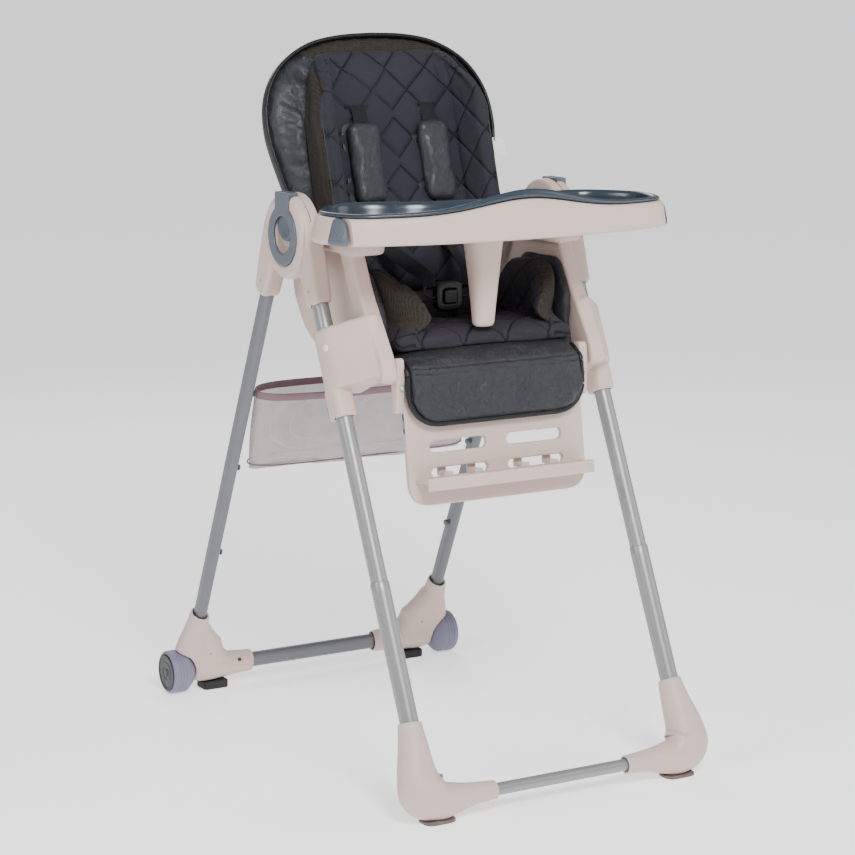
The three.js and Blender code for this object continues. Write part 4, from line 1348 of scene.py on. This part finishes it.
def puffed(obj, cap, pressure=4.0, held=None, frames=20):
    """Cloth pressed outwards from inside, with each point's travel capped in millimetres."""
    before = coordinates(obj)
    cloth = obj.modifiers.new("cloth", "CLOTH")
    cloth.settings.effector_weights.gravity = 0
    cloth.settings.use_pressure = True
    cloth.settings.uniform_pressure_force = pressure
    cloth.settings.quality = 5
    cloth.settings.mass = 0.2
    cloth.settings.tension_stiffness = 12
    cloth.settings.bending_stiffness = 0.4
    if held is not None:
        group = obj.vertex_groups.new(name="held")
        group.add(np.nonzero(held)[0].tolist(), 1.0, "REPLACE")
        cloth.settings.vertex_group_mass = "held"
    cloth.point_cache.frame_start = 1
    cloth.point_cache.frame_end = frames
    for step in range(1, frames + 1):
        bpy.context.scene.frame_set(step)
    graph = bpy.context.evaluated_depsgraph_get()
    after = np.empty(len(before) * 3)
    obj.evaluated_get(graph).data.vertices.foreach_get("co", after)
    after = after.reshape(-1, 3)
    obj.modifiers.clear()
    bpy.context.scene.frame_set(1)
    travel = after - before
    length = np.linalg.norm(travel, axis=1, keepdims=True)
    limit = cap * MM
    place_points(obj, before + travel * np.minimum(1, limit / np.maximum(length, TINY)))
    return smoothed(obj, 2, 0.4)


def pressed(obj, matrix, change):
    """Moves each point along its normal by change(u, v, w, normal), in millimetres, in a design frame."""
    points = coordinates(obj)
    turn = np.array(matrix.to_3x3().normalized())
    normal = normals(obj)
    amount = change(local(points, matrix), normal @ turn)
    place_points(obj, points + normal * amount[:, None] * MM)
    return obj


def two_tone(obj, first, second, matrix, rule):
    """Covers the skin in one material, and in another where rule(points, normals) holds in a design frame."""
    obj.data.materials.clear()
    for material in (first, second):
        obj.data.materials.append(MATERIALS[material][0])
    count = len(obj.data.polygons)
    centre, normal = np.empty(count * 3), np.empty(count * 3)
    obj.data.polygons.foreach_get("center", centre)
    obj.data.polygons.foreach_get("normal", normal)
    turn = np.array(matrix.to_3x3().normalized())
    index = rule(local(centre.reshape(-1, 3), matrix), normal.reshape(-1, 3) @ turn)
    obj.data.polygons.foreach_set("material_index", index.astype(np.int32))
    return obj


def ridge(value, width):
    return np.exp(-((value / width) ** 2))


def fold(value, pitch):
    """Distance to the nearest of evenly spaced lines."""
    return np.abs((value / pitch + 0.5) % 1 - 0.5) * pitch


def wrinkles(points, scale, seed, stretch=(1, 1, 1)):
    """Smooth signed noise, sampled per point."""
    offset = Vector((seed * 3.7, seed * 1.3, seed * 2.1))
    stretched = points * np.array(stretch) / scale
    return np.array([noise.noise(Vector(p) + offset) for p in stretched])


def piping(path, radius, closed=False, sides=14):
    return sweep(path, circle(radius, 0, 0, sides), closed)


def stitches(path, length=3.6, gap=2.2, radius=0.45):
    """Short raised threads along a line."""
    lengths = run_lengths(path)
    made = []
    start = gap
    while start + length < lengths[-1]:
        at = np.linspace(start, start + length, 4)
        line = np.stack([np.interp(at, lengths, path[:, k]) for k in range(3)], axis=1)
        made.append(sweep(line, circle(radius, 0, 0, 6), scale=[0.5, 1, 1, 0.5]))
        start += length + gap
    return joined(*made)


# ---- Backrest ----

BACK_SIDE = [
    (0, 20), (90, 20), (138, 22), (146, 60), (150, 100), (166, 160), (184, 225),
    (196, 290), (189, 347), (160, 393), (112, 423), (58, 435), (0, 438),
]


def back_outline():
    half = catmull(BACK_SIDE, 160)
    loop = np.vstack([half, (half * (-1, 1))[::-1]])
    return anticlockwise(resampled(loop, 260))


def make_back_shell():
    outline = inset(back_outline(), 6)
    keep = np.maximum(outline[:, 1], 14)
    outline[:, 1] = np.where(outline[:, 1] > 420, 428 - (438 - outline[:, 1]) * 0.6, keep)
    body = plate(outline, 31, 44.6, 4.5, "Y", steps=4)
    rib = inset(outline, 26)
    ribs = piping(on_plane(rib, 44.2, "Y"), 2.2, True, 10)
    lines = [piping([(x, 44.4, 60), (x * 1.25, 44.4, 280)], 2.0) for x in (-96, -48, 0, 48, 96)]
    piece("back_panel", joined(body, ribs, *lines), BACK, "taupe", "backrest", ["back_shell"], 35)
    lug = resampled(
        rounded([(-11, -11), (11, -11), (46, 20), (46, 80), (31, 80), (31, 40), (-11, 12)], 7), 90,
    )
    for word in SIDES:
        paired("back_lug", word, plate(lug, 148, 162, 2, "X"), BACK, "taupe", "backrest")
        paired("back_pin", word, lathe([(155, 6), (175.4, 6), (176, 5.4)], 32), BACK, "steel", "backrest")
        heads = [screw(x, 45.0, z, facing(90), 3.6) for x, z in ((118, 96), (146, 250), (128, 380))]
        paired("back_screws", word, joined(*heads), BACK, "steel", "backrest")
    grip = resampled(rectangle(-52, 52, 296, 346, 15, 8), 150)
    hole = resampled(rectangle(-34, 34, 308, 330, 10, 8), 110)
    handle = plate(grip, 45.6, 62, 4, "Y", [anticlockwise(hole)], 4)
    piece("recline_grip_bar", handle, BACK, "slate", "recline_grip", ["recline_handle"], 35)


ARCH_HALF = 132


def arch(x):
    """The height at which the back pad's air mesh starts."""
    return 386 + 0.0016 * x**2


def make_back_pad():
    """A wide padded leatherette back with rounded shoulders, piped along its edge."""
    outline = back_outline()
    profile = [(16, 30.2), (5, 30), (0.2, 27), (-1.6, 21), (-1.2, 15), (1.4, 9), (6, 4.4), (14, 2), (24, 1)]
    rings = [on_plane(inset_far(outline, back), level, "Y") for back, level in profile]
    shape = loft(rings)
    obj = remeshed(raw_object("back_cushion", shape, BACK), 4.6)
    points = local(coordinates(obj), BACK)
    puffed(obj, 7, 4.0, points[:, 1] > 24)
    obj = subdivided(obj)

    def change(p, n):
        x, y, z = p.T
        front = np.clip(-n[:, 1], 0, 1)
        seam = ridge(np.abs(x) - (126 + 0.16 * (z - 200)), 2.2) * (z > 60) * front
        puckers = 1.6 * wrinkles(p, 34, 3, (1, 1, 0.35)) * front
        puckers += 1.8 * wrinkles(p, 18, 4, (0.5, 1, 1)) * ridge(np.abs(x) - 150, 24) * (z < 300) * front
        puckers -= 2.4 * ridge(z - arch(x), 1.8) * (np.abs(x) < ARCH_HALF) * front
        puckers -= 2.4 * ridge(np.abs(x) - ARCH_HALF, 1.8) * (z > 414) * front
        puckers += 3.0 * ridge(fold(x / 30 + 0.3 * wrinkles(p, 60, 5), 1.0) * 30, 3) * (z > 405) * front
        return puckers - 1.8 * seam

    pressed(obj, BACK, change)
    two_tone(
        obj, "leather", "olive", BACK, lambda p, n: (p[:, 2] > arch(p[:, 0])) & (np.abs(p[:, 0]) < ARCH_HALF),
    )
    dressed(obj, "leather", "backrest", ["back_pad"], 70)
    front_line = piping(on_plane(inset(outline, -1.2), 13, "Y"), 3.1, True)
    band = sweep(on_plane(inset(outline, -0.4), 21, "Y"), flat_oval(4.4, 15, 0, 0, 20), True, (0, 1, 0))
    piece("back_piping", joined(front_line, band), BACK, "piping", "backrest", sharp=60)
    label = plate(rectangle(-12, 12, 0, 29, 1), 0, 0.8, 0.3, "Y")
    turned = moved(label, (203, 12, 240), Matrix.Rotation(math.radians(12), 4, "Z"))
    piece("side_label", turned, BACK, "tag", "backrest")


def quilt_lines(u, v, diamond, step):
    """Distance in millimetres to the nearest line of the diamond quilting."""
    across, up = u / diamond[0], v / diamond[1]
    return np.minimum(fold(across + up, 1.0), fold(across - up, 1.0)) * step


LINER_LOW = 31
LINER_HIGH = 409
STRAP_X = 61


def liner_section(z):
    """The liner's front face at a height: (x, y) from the centre out over one wing and back to the pad."""
    low, high = 34, 410
    t = (z - low) / (high - low)
    rise = smoothstep(min(1, max(0, (z - 40) / 90)))
    drop = smoothstep(min(1, max(0, (z - 322) / 92)))
    wing = 22 + 46 * rise * (1 - drop)
    wide = 148 - 26 * max(0, t - 0.72) / 0.28
    inner = 104 - 8 * drop
    top = -13 - 5 * (1 - drop)
    return [
        (0, top - 2), (inner * 0.55, top - 1.5), (inner - 6, top), (inner + 4, top - 3),
        (inner + 17, -wing * 0.66 - 6), (wide - 22, -wing + 1), (wide - 13, -wing), (wide - 5, -wing + 6),
        (wide - 1, -wing * 0.6), (wide - 3, -8), (wide - 9, -0.6),
    ]


def make_back_liner():
    """The quilted insert: a flat centre panel between two forward wings, air mesh on their outsides."""
    levels = np.concatenate([[LINER_LOW, 33, 36.5], np.linspace(41, 398, 110), [402.5, 406, 408, LINER_HIGH]])
    across = 78
    rings = []
    for z in levels:
        half = catmull(liner_section(z), across)
        front = np.vstack([(half * (-1, 1))[::-1], half[1:]])
        ends = min(z - LINER_LOW, LINER_HIGH - z) / 10
        front = front * (0.86 + 0.14 * quarter_round((LINER_HIGH - z) / 46), quarter_round(ends, 0.02))
        back = np.stack([np.linspace(front[-1][0], front[0][0], 60)[1:-1], np.full(58, -0.5)], axis=1)
        loop = np.vstack([front, back])
        rings.append(np.stack([loop[:, 0], loop[:, 1], np.full(len(loop), z)], axis=1))
    obj = raw_object("quilted_back", loft(rings), BACK)
    obj = remeshed(obj, 4.2)
    points = local(coordinates(obj), BACK)
    puffed(obj, 3.5, 3.0, points[:, 1] > -4)
    obj = subdivided(obj)

    def change(p, n):
        x, y, z = p.T
        front = np.clip((-n[:, 1] - 0.1) * 1.6, 0, 1) + 0.9 * np.clip(-n[:, 0] * np.sign(x), 0, 1) * (y < -16)
        front = np.clip(front, 0, 1)
        centre = 1 / (1 + np.exp((np.abs(x) - 108) / 2))
        spread = np.abs(x) + WING_SHARE * np.maximum(0, -y - WING_START)
        lines = quilt_lines(spread, z - DIAMOND_AT, DIAMOND, DIAMOND_STEP)
        quilt = (
            3.0 * np.clip(lines / 18, 0, 1) ** 0.6 - 3.0 * ridge(lines, 1.6)
        ) * np.where(centre > 0.5, 1.0, 0.7)
        side_seam = ridge(np.abs(x) - 106, 1.8) * (y > -40)
        crest = ridge(np.abs(x) - (139 - 0.05 * np.maximum(z - 300, 0)), 1.8) * (y < -40)
        small = 0.7 * wrinkles(p, 22, 7) + 0.9 * wrinkles(p, 40, 8, (1, 1, 0.5))
        slits = ridge(z - 318, 2.2) * (np.abs(np.abs(x) - STRAP_X) < 20)
        return front * (quilt - 2.6 * side_seam - 4 * slits) - 1.6 * crest + small

    pressed(obj, BACK, change)

    def outer_side(p, n):
        outward = n[:, 0] * np.sign(p[:, 0]) > 0.25
        return outward & (np.abs(p[:, 0]) > 128) & (p[:, 1] > -62) & (p[:, 2] < 385)

    two_tone(obj, "quilt", "olive", BACK, outer_side)
    dressed(obj, "quilt", "backrest", ["back_liner"], 75)
    make_liner_trim()


def make_liner_trim():
    made = []
    for side in (1, -1):
        crest, seam = [], []
        for z in np.linspace(60, 392, 60):
            section = liner_section(z)
            u, v = section[7]
            crest.append((side * (u + 1.2), v + 0.4, z))
            half = catmull(section, 60)
            at = half[np.argmin(np.abs(half[:30, 0] - 105))]
            seam.append((side * at[0], at[1] + 0.6, z))
        made.append(piping(np.array(crest), 1.6, sides=10))
        made.append(piping(np.array(seam), 1.3, sides=10))
    piece("wing_piping", joined(*made), BACK, "piping", "backrest", sharp=60)


def make_shoulder_straps():
    """Padded sleeves on the two shoulder straps, the backing behind each, and the webbing above them."""
    pad_low, pad_high = 168, 294
    lean = 0.02
    for word, side in SIDES.items():
        u, v = superellipse(40, 0.45, 0.7)
        rings = []
        for t in np.linspace(0, 1, 44):
            z = pad_low + (pad_high - pad_low) * t
            ends = min(t, 1 - t) * (pad_high - pad_low)
            wide = 26.5 * (0.5 + 0.5 * quarter_round(ends / 17))
            thick = 11.5 * (0.12 + 0.88 * quarter_round(ends / 12))
            x = STRAP_X - lean * (z - 233) * 0.5 + wide * u
            rings.append(np.stack([x, -30.5 + thick * v, np.full(40, z)], axis=1))
        obj = raw_object(f"shoulder_sleeve_{word}", mirrored(loft(rings), side), BACK)
        obj = remeshed(obj, 3.4)
        puffed(obj, 2.0, 3.0)
        obj = subdivided(obj)

        def change(p, n):
            edge = ridge(p[:, 1] + 28.5, 1.4) * (np.abs(n[:, 1]) < 0.8)
            fine = 1.0 * wrinkles(
                p, 13, 20 + side, (1, 1, 0.7),
            ) + 1.2 * wrinkles(p, 30, 24 + side, (1, 1, 0.5))
            return fine - 1.2 * edge

        pressed(obj, BACK, change)
        two_tone(obj, "leather", "quilt", BACK, lambda p, n: p[:, 1] > -27)
        dressed(obj, "leather", "backrest", [f"shoulder_pad_{word}"], 70)
        backing = resampled(rectangle(28, 94, 160, 302, 26, 8), 110)
        backing[:, 0] -= lean * (backing[:, 1] - 233) * 0.4
        trim = plate(mirrored_outline(backing, side), -22.6, -18.6, 1.8, "Y")
        piece(f"shoulder_backing_{word}", trim, BACK, "piping", "backrest", sharp=50)
        over = [
            (side * STRAP_X, -15, 318), (side * STRAP_X, -21, 321), (side * 60, -25, 312),
            (side * 60, -27, 300), (side * 60.5, -28, 280),
        ]
        band = sweep(catmull(over, 30), webbing_section(25), up=(0, 1, 0))
        piece(f"shoulder_webbing_{word}", band, BACK, "webbing", "backrest", sharp=50)


def mirrored_outline(points, side):
    return anticlockwise(points * (side, 1))


def webbing_section(wide, thick=1.6):
    return flat_oval(wide, thick, 0, 0, 20)


def d_ring(centre, wide, high, radius, turn):
    path = catmull(
        [
            (-wide / 2, -high / 2, 0), (wide / 2, -high / 2, 0), (wide / 2 * 0.86, high / 2, 0),
            (-wide / 2 * 0.86, high / 2, 0),
        ],
        60, True,
    )
    ring = sweep(path, circle(radius, 0, 0, 12), True, (0, 0, 1))
    return moved(moved(ring, matrix=turn), centre)


# ---- Seat ----

BUCKLE_HALF = 23


def pad_copy(node, voxel):
    """A node's own shape, as a skin that can be puffed."""
    source = frame["nodes"][node]
    mesh = source.data.copy()
    mesh.materials.clear()
    obj = bpy.data.objects.new(f"{node}_cover", mesh)
    bpy.context.scene.collection.objects.link(obj)
    return remeshed(obj, voxel)


def make_seat_pan():
    corners = [(165.2, -160, 26), (165.2, 30, 16)]
    outline = resampled(both_halves(corners, steps=8), 240)
    floor = plate(outline, 584, 600, 3.5, "Z", steps=4)
    ribs = [plate(rectangle(x - 2, x + 2, -140, 14), 582.2, 586, 0.5, "Z") for x in (-120, -60, 0, 60, 120)]
    piece("seat_base", joined(floor, *ribs), CHAIR, "taupe", "seat", ["seat_pan"])


def make_seat_pad():
    obj = pad_copy("seat_pad", 4.4)
    smoothed(obj, 10, 0.6)
    start = local(coordinates(obj), CHAIR)
    puffed(obj, 5, 3.0, start[:, 2] < 606)
    subdivided(obj)

    def change(p, n):
        x, y, z = p.T
        outer = ridge(np.abs(x) - 158, 2.4) * (z > 640)
        return 0.7 * wrinkles(p, 30, 31) + 0.6 * wrinkles(p, 14, 32, (1, 0.5, 1)) - 1.0 * outer

    pressed(obj, CHAIR, change)
    dressed(obj, "leather", "seat", ["seat_pad"], 70)


def make_seat_liner():
    """The quilted seat insert: a base cushion with a wavy front edge, between two rounded bolsters."""
    obj = pad_copy("seat_liner", 4.0)
    smoothed(obj, 12, 0.6)
    p = local(coordinates(obj), CHAIR)
    x, y, z = p.T
    high = np.clip((z - 648) / 24, 0, 1)
    turn_in = np.clip((-92 - y) / 80, 0, 1) ** 1.6
    p[:, 0] -= np.sign(x) * 46 * turn_in * high * np.clip((np.abs(x) - 100) / 20, 0, 1)
    wave = 5.0 * np.cos(x / 30.0) * np.exp(-((x / 118) ** 4))
    p[:, 1] += np.where(y < -150, wave, 0) * np.clip((664 - z) / 20, 0, 1)
    place_points(obj, placed(p, CHAIR))
    puffed(obj, 6, 4.0, z < 632)
    subdivided(obj)

    def change(p, n):
        x, y, z = p.T
        base = (z < BASE_TOP) & (np.abs(x) < BASE_HALF)
        on_base = quilt_lines(x, y, SEAT_DIAMOND, SEAT_STEP)
        on_side = quilt_lines(y, z, SIDE_DIAMOND, SIDE_STEP)
        inner = np.clip(-n[:, 0] * np.sign(x) * 1.8, 0, 1) * (z > 660)
        top = base * np.clip(n[:, 2] * 1.5, 0, 1)
        lines = np.where(base, on_base, on_side)
        quilt = (
            2.2 * np.clip(lines / 14, 0, 1) ** 0.6 - 2.8 * ridge(lines, 1.5)
        ) * np.clip(inner + top, 0, 1)
        crest = ridge(np.abs(x) - (136 - 30 * np.clip((-92 - y) / 80, 0, 1)), 1.8) * (z > 722)
        return quilt - 1.5 * crest + 0.7 * wrinkles(p, 20, 41) + 0.8 * wrinkles(p, 38, 42)

    pressed(obj, CHAIR, change)

    def bolster_outside(p, n):
        outward = (n[:, 0] * np.sign(p[:, 0]) > 0.35) | (n[:, 1] < -0.4)
        return outward & (p[:, 2] > 662) & (np.abs(p[:, 0]) > 78)

    two_tone(obj, "seat_quilt", "olive", CHAIR, bolster_outside)
    dressed(obj, "quilt", "seat", ["seat_liner"], 75)


def make_calf_cover():
    """The leatherette flap of the seat: over the seat's front bend and down the leg rest."""
    to_chair = CHAIR.inverted() @ REST
    hang = [to_chair @ Vector((0, -11.5, z)) for z in (-14, -34, -54, -74, -90)]
    centre = [(-140, 618), (-155, 620.5), (-169, 619), (-181, 612), *[(p.y, p.z) for p in hang]]
    line = catmull(centre, 64)
    lengths = run_lengths(line)
    along = tangents(line)
    unit_u, unit_v = superellipse(88, 0.3, 0.8)
    edges, rings = [], []
    for i in range(64):
        to_end = lengths[-1] - lengths[i]
        wide = 100 + 47 * quarter_round(to_end / 44)
        thick = 9.2 * quarter_round((to_end + 0.4) / 10, 0.03) * quarter_round((lengths[i] + 1) / 9, 0.08)
        u, v = unit_u * wide, unit_v * thick
        rings.append(np.stack([u, line[i][0] + v * along[i][1], line[i][1] - v * along[i][0]], axis=1))
        edges.append((wide + 1.0, *line[i]))
    obj = remeshed(raw_object("calf_cover", loft(rings), CHAIR), 4.2)
    start = local(coordinates(obj), CHAIR)
    puffed(obj, 2.5, 3.0, start[:, 1] > -150)
    subdivided(obj)

    def change(p, n):
        x, y, z = p.T
        front = np.clip(-n[:, 1] + n[:, 2], 0, 1)
        seam = ridge(z - 603, 1.3) + ridge(z - 611, 1.0)
        hanging = np.clip((606 - z) / 26, 0, 1)
        creases = 4.0 * wrinkles(p, 26, 51, (1, 0.3, 0.25))
        creases += 1.5 * ridge(wrinkles(p, 34, 53, (1, 0.3, 0.4)), 0.07)
        return front * (creases * hanging - 1.8 * seam + 1.0 * wrinkles(p, 40, 52))

    pressed(obj, CHAIR, change)
    hinge = Vector(joints["legrest_tilt"]["pos_m"])
    ends = (hinge + Vector((0, 0.010, 0.020)), hinge + Vector((0, -0.026, -0.020)))
    body = ("seat", "legrest", *ends)
    # The calf material is the leatherette darkened as painted shade.
    dressed(obj, "calf", body, ["calf_pad"], 70)
    right = np.array(edges[14:])
    bottom = np.array(
        [(x, right[-1][1], right[-1][2]) for x in np.linspace(right[-1][0], -right[-1][0], 24)[1:-1]]
    )
    left = right[::-1] * (-1, 1, 1)
    binding = piping(np.vstack([right, bottom, left]), 4.0)
    piece("calf_binding", binding, CHAIR, "piping", body, sharp=60)
    rows = []
    for z in (599.0, 606.0):
        rows.append(
            stitches(np.array([(x, -196.5 - (606 - z) * 0.15, z) for x in np.linspace(-136, 136, 90)]))
        )
    piece("calf_stitching", joined(*rows), CHAIR, "thread", body, sharp=60)


def make_back_skirt():
    """The leatherette gusset that closes the gap between the seat and the foot of the backrest."""
    to_chair = CHAIR.inverted() @ BACK
    top = [to_chair @ Vector((0, y, z)) for y, z in ((-2, 34), (6, 58))]
    line = catmull([(4, 632), (20, 632), (36, 640), (45, 655), *[(p.y, p.z) for p in top]], 40)
    along = tangents(line)
    unit_u, unit_v = superellipse(64, 0.3, 1.0)
    rings = []
    for i, (y, z) in enumerate(line):
        v = unit_v * 5.0 * quarter_round(min(i, 39 - i) / 5, 0.05)
        rings.append(np.stack([unit_u * 136, y - v * along[i][1], z + v * along[i][0]], axis=1))
    obj = subdivided(raw_object("back_skirt", loft(rings), CHAIR))
    pressed(obj, CHAIR, lambda p, n: 1.6 * wrinkles(p, 24, 71, (0.3, 1, 1)))
    hinge = Vector(joints["recline"]["pos_m"])
    ends = (hinge + Vector((0, -0.024, -0.016)), hinge + Vector((0, 0.0, 0.040)))
    dressed(obj, "leather", ("seat", "backrest", *ends), sharp=70)


def make_buckle():
    outline = resampled(
        rounded(
            [
                (-BUCKLE_HALF, 674), (-14, 668), (14, 668), (BUCKLE_HALF, 674), (BUCKLE_HALF, 706),
                (15, 712), (-15, 712), (-BUCKLE_HALF, 706),
            ],
            6, 6,
        ),
        130,
    )
    window = resampled(rectangle(-11.5, 11.5, 679.5, 700.5, 4), 80)
    shell = plate(outline, -63, -51.5, 3, "Y", [window], 4)
    back = plate(outline, -53, -49, 1.2, "Y")
    piece("buckle_shell", joined(shell, back), CHAIR, "buckle", "seat", ["buckle"])
    face = resampled(rectangle(-10.8, 10.8, 680.2, 699.8, 4), 80)
    ribs = [sweep([(-6, -66.2, z), (6, -66.2, z)], circle(0.8, 0, 0, 10)) for z in (686, 690, 694)]
    piece(
        "buckle_key", joined(plate(face, -66.2, -60.7, 1.6, "Y", steps=4), *ribs), CHAIR, "buckle",
        "buckle_press", ["buckle_button"],
    )
    path = catmull([(0, -56, 650.8), (0, -56, 658), (0, -56, 664), (0, -56, 669.5)], 20)
    piece(
        "crotch_webbing", sweep(path, webbing_section(36, 2.2), up=(0, 1, 0)), CHAIR, "webbing", "seat",
        ["crotch_strap"],
    )
    to_chair = CHAIR.inverted() @ BACK
    for word, side in SIDES.items():
        ring_at = (side * 30, -57, 700)
        ring = d_ring(
            ring_at, 20, 15, 1.6, Matrix.Rotation(math.pi / 2, 4, "X") @ Matrix.Rotation(side * 0.6, 4, "Z"),
        )
        piece(f"buckle_ring_{word}", ring, CHAIR, "buckle", "seat")
        waist = catmull(
            [
                (side * 21, -56, 684), (side * 46, -50, 682), (side * 78, -30, 676), (side * 104, -8, 668),
                (side * 112, 8, 664),
            ],
            40,
        )
        piece(
            f"waist_webbing_{word}", sweep(waist, webbing_section(22), up=(0.2, 0, 1)), CHAIR, "webbing",
            "seat",
        )
        low = to_chair @ Vector((side * 62, -30, 170))
        middle = to_chair @ Vector((side * 58, -34, 110))
        path = [(side * 33, -57, 704), (side * 37, -48, 722), tuple(middle), (low.x, low.y, low.z)]
        strap = sweep(catmull(path, 50), webbing_section(24), up=(0, 1, 0))
        hinge = Vector(joints["recline"]["pos_m"])
        ends = ((hinge.x, hinge.y - 0.09, hinge.z + 0.055), (hinge.x, hinge.y - 0.05, hinge.z + 0.17))
        piece(f"harness_webbing_{word}", strap, CHAIR, "webbing", ("seat", "backrest", *ends), sharp=50)


# ---- Storage basket ----

BASKET = [
    (-302, 20), (-325, 24), (-345, 26), (-372, 26.5), (-400, 25), (-420, 21), (-435, 16), (-444, 11),
    (-449, 6),
]
BASKET_HALF = 206
BASKET_TOP = -302
BASKET_DEPTH = 147.0


def basket_ring(z, deep, count=220):
    down = (BASKET_TOP - z) / BASKET_DEPTH
    sag = 3.0 * (1 - down)
    u, v = superellipse(count, 0.36, 0.8)
    wide = BASKET_HALF - 14 * max(0, down) ** 2
    x = u * wide
    y = 37.3 + v * deep
    level = z - sag * np.cos(x / wide * math.pi / 2)
    return np.stack([x, y, level], axis=1)


def make_basket():
    levels = catmull(BASKET, 54)
    rings = [basket_ring(z, deep) for z, deep in levels]
    points, faces = loft(rings, cap=(False, True))
    obj = raw_object("net_pouch", (points, faces), REAR_LEG)
    subdivided(obj)

    def change(p, n):
        x, y, z = p.T
        hanging = np.clip((-308 - z) / 30, 0, 1)
        folds = 4.2 * wrinkles(p, 60, 61, (1, 1, 0.5)) + 2.2 * wrinkles(p, 26, 62, (1, 1, 0.3))
        arc = ridge(np.hypot(x - 250, (z + 300) * 1.1) - 130, 2.2)
        return hanging * (folds - 1.2 * arc) - 1.5 * hanging

    pressed(obj, REAR_LEG, change)
    hem = basket_ring(-303.5, 20.4, 240)
    band = sweep(hem, flat_oval(2.6, 13, 0, 0, 20), True)
    hems = piece("net_hem", band, REAR_LEG, "hem", "rear_frame", sharp=60)
    seam = basket_ring(-436, 16.4, 200)
    lower = sweep(seam, circle(1.2, 0, 0, 8), True)
    seams = piece("net_seam", lower, REAR_LEG, "hem", "rear_frame", sharp=60)
    dressed(obj, "net", "rear_frame", ["storage_basket"], 180)
    pegs = []
    for side in SIDES.values():
        for level in (525, 399, 249):
            down = (HUB.z / MM + LEG_OFFSET * math.sin(LEAN) - level) / math.cos(LEAN)
            _, y, z = leg_point(1, down)
            profile = [
                (LEG_X - 15.5, 0.2), (LEG_X - 15.5, 4.0), (LEG_X - 14.2, 5.2), (LEG_X - 12.5, 5.2),
                (LEG_X - 11.8, 3.4), (LEG_X - 8.5, 3.4),
            ]
            pegs.append(mirrored(lathe(profile, 30, y, z), side))
    piece("net_pegs", joined(*pegs), CHAIR, "slate", "rear_frame")


# ---- Making ----

make_tubes()
make_front_feet()
make_rear_feet()
make_wheels()
make_hubs()
make_carriers()
make_tray()
make_legrest()
make_back_shell()
make_back_pad()
make_back_liner()
make_shoulder_straps()
make_seat_pan()
make_seat_pad()
make_seat_liner()
make_calf_cover()
make_back_skirt()
make_buckle()
make_basket()

# ---- Floor, lights and camera ----


def make_floor():
    reach = 70000
    shape = plate(resampled(rectangle(-reach, reach, -reach, reach, reach / 4), 240), -12, 0, 2, "Z")
    floor = raw_object("studio_floor", shape, Matrix.Scale(MM, 4))
    nodes = Nodes("floor_paper")
    nodes.shader.inputs["Base Color"].default_value = srgb(246, 245, 243)
    nodes.shader.inputs["Roughness"].default_value = 0.7
    nodes.shader.inputs["Emission Color"].default_value = srgb(250, 250, 251)
    nodes.shader.inputs["Emission Strength"].default_value = 0.85
    floor.data.materials.append(nodes.material)


def area_light(name, place, target, size, power):
    light = bpy.data.lights.new(name, "AREA")
    light.shape = "DISK"
    light.size = size
    light.energy = power
    lamp = bpy.data.objects.new(name, light)
    bpy.context.scene.collection.objects.link(lamp)
    lamp.location = place
    lamp.rotation_euler = (Vector(target) - Vector(place)).to_track_quat("-Z", "Y").to_euler()


def make_lights():
    world = bpy.data.worlds.new("soft_studio")
    bpy.context.scene.world = world
    world.use_nodes = True
    background = world.node_tree.nodes["Background"]
    background.inputs["Color"].default_value = srgb(250, 251, 253)
    background.inputs["Strength"].default_value = 0.46
    area_light("key", (-0.7, -2.9, 2.9), (0, 0, 0.7), 1.3, 150)
    area_light("side", (-2.6, -0.6, 1.9), (0, 0, 0.9), 1.0, 26)
    area_light("fill", (2.4, -1.6, 1.6), (0, 0, 0.6), 2.2, 28)
    area_light("rim", (0.6, 2.4, 2.2), (0, 0, 0.8), 1.6, 30)


def make_camera():
    azimuth, elevation = math.radians(-30.2475), math.radians(10.7486)
    camera = bpy.data.cameras.new("camera")
    camera.lens = 111.96
    camera.sensor_width = 36
    view = bpy.data.objects.new("camera", camera)
    bpy.context.scene.collection.objects.link(view)
    view.location = (-2.0085, -3.4531, 1.2366)
    back = Vector(
        (
            math.sin(azimuth) * math.cos(elevation), -math.cos(azimuth) * math.cos(elevation),
            math.sin(elevation),
        )
    )
    view.rotation_euler = back.to_track_quat("Z", "Y").to_euler()
    bpy.context.scene.camera = view


make_floor()
make_lights()
make_camera()
